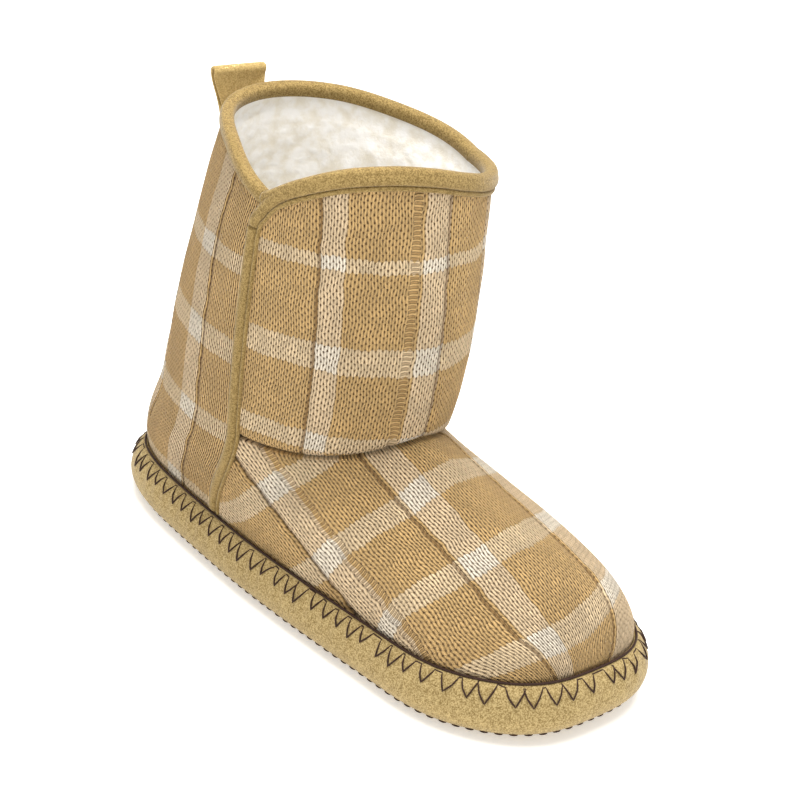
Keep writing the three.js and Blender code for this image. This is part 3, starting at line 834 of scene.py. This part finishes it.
# %% The sole
SOLE_LIFT = 0.7
SIDE_SHARES = (0, 0.18, 0.34, 0.52, 0.7, 0.86, 0.96, 1.0)
SOLE_SIDE = smooth_column(SIDE_SHARES, (-3, 1.0, 4.5, SOLE_SWELL, 5.5, 3.5, 1.4, 0.3))
SOLE_RISE = smooth_column(SIDE_SHARES, (SOLE_LIFT, 1.6, 5, SOLE_WIDEST, 15, 19, 21.5, SEAM_HEIGHT))
SEAM_RUN = run_lengths(outline_point(ROUND, 0.0, SEAM_HEIGHT), 0)
PULL_HEIGHT = 15.0
PULL_REACH = 3.0
PULL_DEPTH = 0.45
STITCH_COUNT = 78
STITCH_PITCH = SEAM_RUN[-1] / STITCH_COUNT


def sole_lay(u, v):
    turn = even_turns(-math.pi, math.pi, 1.0, u)
    side = np.clip((v - 0.25) / 0.6, 0, 1)
    run = np.interp(turn, ROUND, SEAM_RUN)
    at_stitches = np.exp(-(((SOLE_RISE(side) - PULL_HEIGHT) / PULL_REACH) ** 2))
    pull = at_stitches * (0.5 + 0.5 * np.cos(2 * np.pi * run / STITCH_PITCH))
    swell = SOLE_SIDE(side) - PULL_DEPTH * pull
    places = outline_point(turn, swell, SOLE_RISE(side))
    core = np.clip((0.25 - v) / 0.25, 0, 1)
    bed = np.clip((v - 0.85) / 0.15, 0, 1)
    tuck = np.clip(bed / 0.4, 0, 1)
    sunk = lerp(SEAM_HEIGHT, BED_HEIGHT, np.clip((bed - 0.4) / 0.6, 0, 1))
    inner = outline_point(turn, lerp(0.3, -MARGIN_INSET + 0.3, tuck), sunk)
    places = np.where((bed > 0)[..., None], inner, places)
    shrink = lerp(1.0, 0.55, core)
    height = places[..., 2]
    places = np.where((core > 0)[..., None], places * points(shrink, shrink, 1.0), places)
    places[..., 2] = np.where(core > 0, SOLE_LIFT + toe_spring(2 * places[..., 0] / SEAM_LENGTH), height)
    return places, np.stack([run, v * 60], -1)


WHOLE = {"weld": True, "caps": True}
cloth_piece("sole_cup", 420, 44, sole_lay, SOLE_SUEDE, "sole_suede", "sole", **WHOLE)

# %% [markdown]
# Inside lies the insole, a pad covered with the same pile. It is a padded piece: crowned in the middle and
# rounded at its rim.

# %% The insole
INSOLE_LOW = 12.6
INSOLE_THICK = 4.0


def insole_lay(u, v):
    turn = even_turns(-math.pi, math.pi, 1.0, u)
    inset = -(MARGIN_INSET + WALL + 0.6)
    rim = np.clip((v - 0.15) / 0.25, 0, 1)
    swell = inset - 1.6 * (1 - np.sin(np.pi * rim))
    height = INSOLE_LOW + INSOLE_THICK * 0.85 * (0.5 - 0.5 * np.cos(np.pi * rim))
    places = outline_point(turn, swell, height)
    shrink = np.interp(v, (0, 0.15, 0.4, 1), (0.5, 1.0, 1.0, 0.05))
    places[..., :2] = places[..., :2] * shrink[..., None]
    places[..., 2] += np.where(v > 0.4, 0.6 * smoothstep(v, 0.4, 0.6), 0.0)
    places[..., 2] += np.where(v > 0.4, 0.35 * soft_noise(places, 7, 6), 0.0)
    return places, np.stack([u * 600, v * 60], -1)


insole_piece = cloth_piece("insole_pad", 200, 60, insole_lay, PILE, "fleece", "insole", **WHOLE)

# %% [markdown]
# Suede tape finishes the edges. On the front it is a soft roll that comes up the outer strip, turns over the
# corner, follows the front rim and goes down the inner strip. A bevelled curve would be round all over, so
# it is a sheet on a path, which is named in turns and climbs, rounded at corners and read at even lengths.

# %% The path of the front tape
STRIP_HALF = 3.6
STRIP_REACH = STRIP_HALF / np.linalg.norm(face_slopes(np.array(STRIP_OUTER), np.array(3.0))[0])
ROLL_STRIP_HALF = 2.7
ROLL_RIM_HALF = 2.5
ROLL_DROP = 3.0
JOINT_BELOW = 13.2
SET_BACK_LOW = 0.6
SET_BACK_HIGH = 2.7
CORNER_TURN = 0.11
CORNER_REACH = 26
PATH_STEP = 0.5


def tape_turns(climb, strip, behind):
    """Turns that stay so many mm behind a side seam."""
    slope = np.linalg.norm(face_slopes(np.full_like(climb, strip), climb)[0], axis=-1)
    return strip + np.sign(strip) * behind / slope


def round_corners(values, reach):
    weights = np.exp(-np.linspace(-2.5, 2.5, 2 * reach + 1) ** 2 / 2)
    before = 2 * values[0] - values[reach:0:-1]
    after = 2 * values[-1] - values[-2 : -reach - 2 : -1]
    padded = np.concatenate([before, values, after])
    return np.convolve(padded, weights / weights.sum(), mode="valid")


strip_climbs = np.linspace(1.04, 2.915, 300)
set_back = lerp(SET_BACK_LOW, SET_BACK_HIGH, smoothstep(strip_climbs, 1.0, 2.1))
outer_turns = tape_turns(strip_climbs, -STRIP_OUTER, set_back)
inner_turns = tape_turns(strip_climbs, STRIP_INNER, set_back)
rim_turns = np.linspace(outer_turns[-1] + CORNER_TURN, inner_turns[-1] - CORNER_TURN, 300)
path_turns = np.concatenate([outer_turns, rim_turns, inner_turns[::-1]])
path_climbs = np.concatenate([strip_climbs, climb_at_drop(rim_turns, ROLL_DROP), strip_climbs[::-1]])
path_run = run_lengths(face_point(path_turns, path_climbs), 0)
even_run = np.arange(0, path_run[-1], PATH_STEP)
PATH_TURNS = round_corners(np.interp(even_run, path_run, path_turns), CORNER_REACH)
PATH_CLIMBS = round_corners(np.interp(even_run, path_run, path_climbs), CORNER_REACH)
PATH_LINE = face_point(PATH_TURNS, PATH_CLIMBS)
PATH_OUT = unit(off_face(PATH_TURNS, PATH_CLIMBS, 1.0, low=1.0) - PATH_LINE)
PATH_SIDE = unit(np.cross(PATH_OUT, np.gradient(PATH_LINE, axis=0)))
PATH_RUN = run_lengths(PATH_LINE, 0)
outer_joint = np.flatnonzero(PATH_LINE[:, 2] > NOTCH_OUTER - JOINT_BELOW)[0]
inner_joint = np.flatnonzero(PATH_LINE[:, 2] > NOTCH_INNER - JOINT_BELOW)[-1]
JOINTS = (PATH_RUN[outer_joint], PATH_RUN[inner_joint])
RIM_SHARE = smoothstep(np.minimum(PATH_RUN - JOINTS[0], JOINTS[1] - PATH_RUN), 12.0, 24.0)
print("front tape path", round(float(PATH_RUN[-1]), 1), "mm, joints at", [round(float(j), 1) for j in JOINTS])

# %% Laying a roll along the path
ROLL_SHARES = (0, 0.04, 0.14, 0.3, 0.5, 0.7, 0.86, 0.96, 1)
ROLL_ON_STRIP = (-0.6, 0.5, 1.35, 1.85, 2.0, 1.85, 1.35, 0.5, -0.6)
ROLL_ON_RIM = (1.2, 1.35, 1.6, 1.85, 1.95, 1.85, 1.35, 0.5, -0.6)


def along_path(values, run):
    columns = values.reshape(len(values), -1).T
    return np.stack([np.interp(run, PATH_RUN, column) for column in columns], -1).squeeze()


def beside_path(run, across, high):
    """Places beside the path: so far along it, so far to its side and so high off the face."""
    line = along_path(PATH_LINE, run)[:, None]
    side = along_path(PATH_SIDE, run)[:, None]
    outward = along_path(PATH_OUT, run)[:, None]
    return line + side * across[..., None] + outward * high[..., None]


def roll_lay(start, end, fuller=0.0):
    """A roll on the path between two runs; a fuller roll swells at its ends, where it overlaps another."""

    def lay(u, v):
        run = lerp(start, end, v[:, 0])
        rim = along_path(RIM_SHARE, run)[:, None]
        half = lerp(ROLL_STRIP_HALF, ROLL_RIM_HALF, rim)
        on_strip = np.interp(u, ROLL_SHARES, ROLL_ON_STRIP)
        on_rim = np.interp(u, ROLL_SHARES, ROLL_ON_RIM)
        profile = lerp(on_strip, on_rim, rim)
        near_end = np.minimum(run - start, end - run)[:, None]
        swell = fuller * np.exp(-near_end / 2.5) * (profile > 0)
        turned_in = 1.3 * np.exp(-near_end / 0.35)
        across = (1 - 2 * u) * half
        places = beside_path(run, across, profile + swell - turned_in)
        return places, np.stack([across, run[:, None] + 0 * u], -1)

    return lay


TAPES = [
    ("strip_outer", 160, roll_lay(0.0, JOINTS[0] - 0.2), "side_strip_outer"),
    ("strip_inner", 160, roll_lay(JOINTS[1] + 0.2, PATH_RUN[-1]), "side_strip_inner"),
    ("binding_front", 320, roll_lay(JOINTS[0], JOINTS[1], 0.35), "collar_binding_front"),
]
for name, rows, lay, solid in TAPES:
    cloth_piece(name, 24, rows, lay, TAPE_SUEDE, "tape_suede", solid)

# %% [markdown]
# The tape's own edge is turned under and sewn beside the roll. It shows as a second, narrow ridge all along
# the roll's lower side, thinner on the strips than on the rim. It is laid on the same path as the roll.

# %% The turned edge
EDGE_STRIP_HALF = 0.75
EDGE_RIM_HALF = 1.05
EDGE_HIGH = 0.95


def edge_lay(u, v):
    run = lerp(0.0, PATH_RUN[-1], v[:, 0])
    rim = along_path(RIM_SHARE, run)
    half = lerp(EDGE_STRIP_HALF, EDGE_RIM_HALF, rim)[:, None]
    middle = -(lerp(ROLL_STRIP_HALF, ROLL_RIM_HALF, rim)[:, None] + half * 0.8)
    around = (u - 0.5) * math.radians(220)
    across = middle - half * np.sin(around)
    places = beside_path(run, across, EDGE_HIGH * (np.cos(around) + 0.12))
    return places, np.stack([across, run[:, None] + 0 * u], -1)


cloth_piece("turned_edge", 10, 640, edge_lay, TAPE_SUEDE, "tape_suede")

# %% [markdown]
# Over the rim itself the tape is folded to the inside. Seen from its end it is a rounded hook, and the pile
# is squeezed thin between its two sides. A section of few corners is read as a soft curve and carried round
# the rim. The back binding is the same hook with a longer outside.

# %% The hooks over the rim
HOOK_TOP = [
    (0.9, 1.5), (-0.4, 1.15), (-1.1, 0.2), (-1.35, -1.2), (-1.1, -2.7), (-0.4, -3.6), (0.8, -4.15),
    (2.4, -4.25), (3.7, -3.9), (4.2, -3.3), (4.2, -2.6), (2.4, -2.5), (-0.2, -2.5), (-0.2, 0.05),
]
FRONT_HOOK = [(3.8, 0.05), (3.8, 0.6), (2.9, 1.0), (1.9, 1.3)] + HOOK_TOP + [(2.0, 0.05)]
BACK_HOOK = [(4.1, 0.05), (4.1, 0.5), (3.5, 1.05), (2.2, 1.5)] + HOOK_TOP + [(2.0, 0.05)]


def round_section(corners, share):
    """A closed section of few corners, read round once as a soft curve."""
    corners = np.array(corners)
    count = len(corners)
    place = share * count
    low = np.floor(place).astype(int)
    p = (place - low)[..., None]
    a, b, c, d = (corners[(low + k) % count] for k in (-1, 0, 1, 2))
    return 0.5 * (2 * b + (c - a) * p + (2 * a - 5 * b + 4 * c - d) * p**2 + (3 * b - a - 3 * c + d) * p**3)


def hook_lay(start, end, hook, slimmer):
    def lay(u, v):
        turn = even_turns(start, end, 3.0, v)
        section = round_section(hook, u)
        drop = section[..., 0]
        near_end = np.minimum(v, 1 - v) * 200
        out = section[..., 1] - slimmer * np.exp(-near_end / 4) * (section[..., 1] > 0.3)
        climb = climb_at_drop(turn, np.maximum(0, drop))
        places = off_face(turn, climb, out, np.maximum(0, -drop))
        return places, np.stack([u * 32, v * 200], -1)

    return lay


front_ends = (-STRIP_OUTER - 0.1 * STRIP_REACH, STRIP_INNER + 0.1 * STRIP_REACH)
back_ends = (STRIP_INNER - 0.4 * STRIP_REACH, 2 * math.pi - STRIP_OUTER + 0.4 * STRIP_REACH)
HOOKS = [
    ("binding_front_fold", 200, hook_lay(*front_ends, FRONT_HOOK, 0.0), "collar_binding_front"),
    ("binding_back", 220, hook_lay(*back_ends, BACK_HOOK, 0.9), "collar_binding_back"),
]
for name, rows, lay, solid in HOOKS:
    cloth_piece(name, 54, rows, lay, TAPE_SUEDE, "tape_suede", solid, **WHOLE)

# %% [markdown]
# The pull loop is one length of tape folded in two. Its ends are sewn flat to the knit below the binding.
# Above the rim it leans back, flares and swings its outer edge away, which opens a slit between its layers.
# A strip that is only bent would stand stiffly, so a sewn lay and a free lay are blended along the tape.

# %% The pull loop
LOOP_TURN = np.array(math.pi + 0.075)
LOOP_WIDTH = 20.0
LOOP_FLARE = 4.2
LOOP_TWIST = math.radians(12)
LOOP_RISE = 4.6
LOOP_DROP = 14.0
LOOP_THICK = 1.3
LOOP_SLIT = 1.4
LOOP_LEAN = 2.0
LOOP_ON_KNIT = 0.45
LOOP_ON_BINDING = 1.75
LOOP_SEWN_ASIDE = 2.6


def loop_lay(u, v):
    radius = (LOOP_SLIT + LOOP_THICK) / 2
    leg = LOOP_RISE - radius + LOOP_DROP
    run = v * (2 * leg + np.pi * radius)
    angle = np.clip((run - leg) / radius, 0, np.pi)
    going_down = np.maximum(0, run - leg - np.pi * radius)
    height = np.minimum(run, leg) - LOOP_DROP + radius * np.sin(angle) - going_down
    behind = -radius * np.cos(angle)
    turn_in = 2 * np.pi * u
    flat = signed_power(np.cos(turn_in), 0.16)
    skin = signed_power(np.sin(turn_in), 0.5)
    across = 0.5 + 0.5 * flat
    out = skin * LOOP_THICK / 2
    share = smoothstep(height, -LOOP_DROP, LOOP_RISE)
    around, upward = face_slopes(LOOP_TURN, np.array(3.0))
    back = unit(np.cross(around, upward))
    side = np.cross(back, upward)
    root = off_face(LOOP_TURN, np.array(3.0), LOOP_ON_BINDING + 0.4 + LOOP_THICK + LOOP_SLIT / 2)
    hinge = root + side * LOOP_WIDTH / 2
    width = LOOP_WIDTH + LOOP_FLARE * share
    lift = height + out * np.sin(angle)
    depth = behind - out * np.cos(angle)
    twist = -LOOP_TWIST * share
    sideways = -across * width
    swung_side = sideways * np.cos(twist) - depth * np.sin(twist)
    swung_back = sideways * np.sin(twist) + depth * np.cos(twist)
    leaned = swung_back + LOOP_LEAN * share
    free = hinge + side * swung_side[..., None] + back * leaned[..., None] + upward * lift[..., None]
    spread = lerp(LOOP_THICK / 2 + 0.05, radius, smoothstep(height, -LOOP_DROP, -2.0))
    rests_on = lerp(LOOP_ON_KNIT, LOOP_ON_BINDING, smoothstep(height, -8.0, -4.8))
    sewn_out = rests_on + LOOP_THICK / 2 + spread - (spread + out) * np.cos(angle)
    aside = LOOP_WIDTH / 2 - LOOP_SEWN_ASIDE - across * width
    sewn_turn = LOOP_TURN - aside / np.linalg.norm(around)
    sewn_climb = climb_at_drop(sewn_turn, np.maximum(0, -height))
    sewn = off_face(sewn_turn, sewn_climb, sewn_out, np.maximum(0, height))
    held_to = lerp(-4.5, -LOOP_DROP - 1.0, across)
    places = lerp(sewn, free, smoothstep(height - held_to, 0.0, 6.5)[..., None])
    return places, np.stack([across * LOOP_WIDTH, run], -1)


pull_loop = cloth_piece("loop_tape", 64, 80, loop_lay, LOOP_SUEDE_LIT, "tape_suede", "pull_loop", **WHOLE)
loop_corners = np.array([v.co for v in pull_loop.data.vertices])
print("own loop", loop_corners.min(0).round(4), loop_corners.max(0).round(4))

# %% [markdown]
# A dark cord lies in the seam between sole and knit, and below it one long thread zigzags round the foot.
# Threads are curves with a round bevel, turned into meshes so that the part holds plain geometry.

# %% The seam cord and the hand stitches


def thread_mesh(name, places, radius, closed):
    curve = bpy.data.curves.new(name, "CURVE")
    curve.dimensions = "3D"
    curve.bevel_depth = radius * MM
    curve.bevel_resolution = 1
    line = curve.splines.new("POLY")
    line.points.add(len(places) - 1)
    flat = np.concatenate([places * MM, np.ones((len(places), 1))], axis=1)
    line.points.foreach_set("co", flat.ravel())
    line.use_cyclic_u = closed
    curve.use_fill_caps = not closed
    holder = add_object(name, curve)
    bpy.context.view_layer.update()
    mesh = bpy.data.meshes.new_from_object(holder.evaluated_get(bpy.context.evaluated_depsgraph_get()))
    bpy.data.objects.remove(holder)
    bpy.data.curves.remove(curve)
    mesh.name = name
    mesh.shade_smooth()
    return mesh


def thread_material(name, deep, pale):
    material, tree, shader = new_material(name, 0.7)
    spot = object_spot(tree)
    fibre = clouds(tree, spot, 700.0).outputs[0]
    dress_shader(tree, shader, blend_colour(tree, fibre, deep, pale), fibre, 0.5, 0.2)
    return material


CORD_RADIUS = 0.47
STITCH_RADIUS = 0.33
STITCH_FOOT = 16.4
STITCH_TOP = 21.5
DARK_THREAD = thread_material("dark_thread", tint(40, 26, 20), tint(68, 46, 36))
cord_turns = even_turns(-math.pi, math.pi, 1.0, np.linspace(0, 1, 700)[:-1])
cord_line = outline_point(cord_turns, 0.2, SEAM_HEIGHT + 0.4)
place_piece("seam_cord", thread_mesh("seam_cord", cord_line, CORD_RADIUS, True), DARK_THREAD, "sole_suede")


def side_spot(run, height, out):
    """A spot on the sole's side: so far round the seam, so high, and so far off the suede."""
    turn = np.interp(np.mod(run, SEAM_RUN[-1]), SEAM_RUN, ROUND)
    shares = np.linspace(0, 1, 200)
    swell = np.interp(height, SOLE_RISE(shares), SOLE_SIDE(shares))
    return outline_point(turn, swell + out, height)


wobble = np.random.default_rng(7)
stitch_runs = []
stitch_heights = []
stitch_outs = []
for number in range(STITCH_COUNT):
    middle = (number + 0.5 + 0.12 * wobble.normal()) * STITCH_PITCH
    half = STITCH_PITCH * (0.4 + 0.04 * wobble.normal())
    foot = STITCH_FOOT + 0.55 * wobble.normal()
    top = STITCH_TOP + 0.15 * wobble.normal()
    tip = middle + 0.5 * wobble.normal()
    stitch_runs += [middle - half, middle - half * 0.55, tip, middle + half * 0.55, middle + half]
    stitch_heights += [top, lerp(top, foot, 0.5), foot, lerp(top, foot, 0.45), top + 0.15 * wobble.normal()]
    stitch_outs += [-0.35, 0.35, 0.2, 0.35, -0.35]
steps = np.arange(len(stitch_runs))
fine = np.linspace(0, len(stitch_runs) - 1, (len(stitch_runs) - 1) * 4 + 1)
zigzag_ways = (np.interp(fine, steps, way) for way in (stitch_runs, stitch_heights, stitch_outs))
zigzag_mesh = thread_mesh("zigzag_stitches", side_spot(*zigzag_ways), STITCH_RADIUS, False)
place_piece("zigzag_stitches", zigzag_mesh, DARK_THREAD, "sole_suede")

# %% [markdown]
# Under the sole small dots keep the slipper from sliding. Those on the bottom are low discs in rows, and a
# row of flat beads follows the lower edge, where they show from the side. Each has few faces, because there
# are hundreds of them, and all are one mesh.

# %% The grip dots
DOT_PITCH = 8.0
DOT_RADIUS = 1.7
DOT_THICK = 1.2
ROW_SHARE = 0.866
EDGE_DOT_FLAT = Matrix.Diagonal((1.0, 0.55, 0.35, 1.0))
EDGE_DOT_PITCH = 5.2
EDGE_DOT_HEIGHT = 2.1
EDGE_DOT_TILT = math.radians(-24)
rim = outline_point(ROUND, -7.0, 0.0)[:-1]


def inside_rim(x, y):
    ahead = np.roll(rim, -1, axis=0)
    crosses = (rim[:, 1] > y) != (ahead[:, 1] > y)
    reach = (ahead[:, 0] - rim[:, 0]) * (y - rim[:, 1]) / (ahead[:, 1] - rim[:, 1] + 1e-12) + rim[:, 0]
    return np.count_nonzero(crosses & (x < reach)) % 2 == 1


dots = bmesh.new()
for line in range(-20, 21):
    for place in range(-20, 21):
        x = (place + 0.5 * (line % 2)) * DOT_PITCH
        y = line * DOT_PITCH * ROW_SHARE
        if inside_rim(x, y):
            base = SOLE_LIFT + float(toe_spring(np.array(2 * x / SEAM_LENGTH)))
            spot = Matrix.Translation((x * MM, y * MM, (base + 0.1) * MM))
            bmesh.ops.create_cone(
                dots,
                cap_ends=True,
                segments=10,
                radius1=DOT_RADIUS * 0.7 * MM,
                radius2=DOT_RADIUS * MM,
                depth=DOT_THICK * MM,
                matrix=spot,
            )
for run in np.arange(0, SEAM_RUN[-1], EDGE_DOT_PITCH):
    here = side_spot(np.array(run), np.array(EDGE_DOT_HEIGHT), 0.0)
    ahead = side_spot(np.array(run + 0.5), np.array(EDGE_DOT_HEIGHT), 0.0)
    heading = math.atan2(ahead[1] - here[1], ahead[0] - here[0])
    leaning = Matrix.Rotation(heading, 4, "Z") @ Matrix.Rotation(EDGE_DOT_TILT, 4, "X")
    spot = Matrix.Translation(Vector(here * MM)) @ leaning @ EDGE_DOT_FLAT
    bmesh.ops.create_icosphere(dots, subdivisions=2, radius=DOT_RADIUS * MM, matrix=spot)
dot_mesh = bpy.data.meshes.new("grip_dots")
dots.to_mesh(dot_mesh)
dots.free()
dot_mesh.shade_smooth()
place_piece("grip_dots", dot_mesh, DARK_THREAD, "sole_suede")

# %% [markdown]
# The shoe stands on a plain white floor that glows a little, so that its shadow stays faint. The light is
# soft: a bright room and one large lamp above. A weak narrow lamp reaches into the collar and lifts the pile.

# %% Floor and light
floor_mesh = bpy.data.meshes.new("floor")
plain = bmesh.new()
bmesh.ops.create_grid(plain, x_segments=1, y_segments=1, size=6.0)
plain.to_mesh(floor_mesh)
plain.free()
floor = add_object("floor", floor_mesh)
floor_paint, _, floor_shader = new_material("floor_paint", 0.9)
floor_shader.inputs["Base Color"].default_value = (0.95, 0.95, 0.95, 1)
floor_shader.inputs["Emission Color"].default_value = (1, 1, 1, 1)
floor_shader.inputs["Emission Strength"].default_value = 0.4
floor_mesh.materials.append(floor_paint)

room = bpy.data.worlds.new("bright_room")
bpy.context.scene.world = room
room.use_nodes = True
sky = room.node_tree.nodes["Background"]
sky.inputs[0].default_value = (1.0, 0.98, 0.945, 1)
sky.inputs[1].default_value = 0.68


def soft_lamp(name, place, aim, size, power):
    lamp = bpy.data.lights.new(name, "AREA")
    lamp.shape = "DISK"
    lamp.size = size
    lamp.energy = power
    holder = add_object(name, lamp)
    holder.location = place
    holder.rotation_euler = (Vector(aim) - Vector(place)).to_track_quat("-Z", "Y").to_euler()
    return holder


soft_lamp("top_lamp", (0.04, 0.08, 1.4), (0, 0, 0.08), 1.2, 27.0)
inside_lamp = soft_lamp("inside_lamp", (0.34, -0.33, 0.95), (-0.035, 0.005, 0.15), 0.05, 0.017)
inside_lamp.data.spread = math.radians(11)
bpy.context.scene.view_settings.view_transform = "Standard"
print("lamps", [light.name for light in bpy.data.lights])

# %% [markdown]
# The camera stands at the picture's angle: a long lens from the front of the outer side, a little above,
# rolled by a few degrees. Its axes are worked out from those angles, so each can be changed by itself.

# %% The camera
AZIMUTH, ELEVATION, ROLL = (math.radians(angle) for angle in (47.58, 24.1, 5.041))
AIM = Vector((0.01635, -0.00184, 0.08885))
DISTANCE = 0.8347
SENSOR_WIDTH = 36.0
FOCAL_SHARE = 2.713818

level = math.cos(ELEVATION)
back_axis = Vector((math.sin(AZIMUTH) * level, -math.cos(AZIMUTH) * level, math.sin(ELEVATION)))
right_axis = (-back_axis).cross(Vector((0, 0, 1))).normalized()
up_axis = right_axis.cross(-back_axis)
rolled_right = right_axis * math.cos(ROLL) + up_axis * math.sin(ROLL)
rolled_up = up_axis * math.cos(ROLL) - right_axis * math.sin(ROLL)
turned = Matrix((rolled_right, rolled_up, back_axis)).transposed().to_4x4()
lens = bpy.data.cameras.new("camera")
lens.sensor_fit = "HORIZONTAL"
lens.sensor_width = SENSOR_WIDTH
lens.lens = SENSOR_WIDTH * FOCAL_SHARE
lens.clip_end = 20.0
camera = add_object("camera", lens)
camera.matrix_world = Matrix.Translation(AIM + back_axis * DISTANCE) @ turned
bpy.context.scene.camera = camera
print("camera lens", round(lens.lens, 1), "mm")

# %% Finish
bpy.context.view_layer.update()
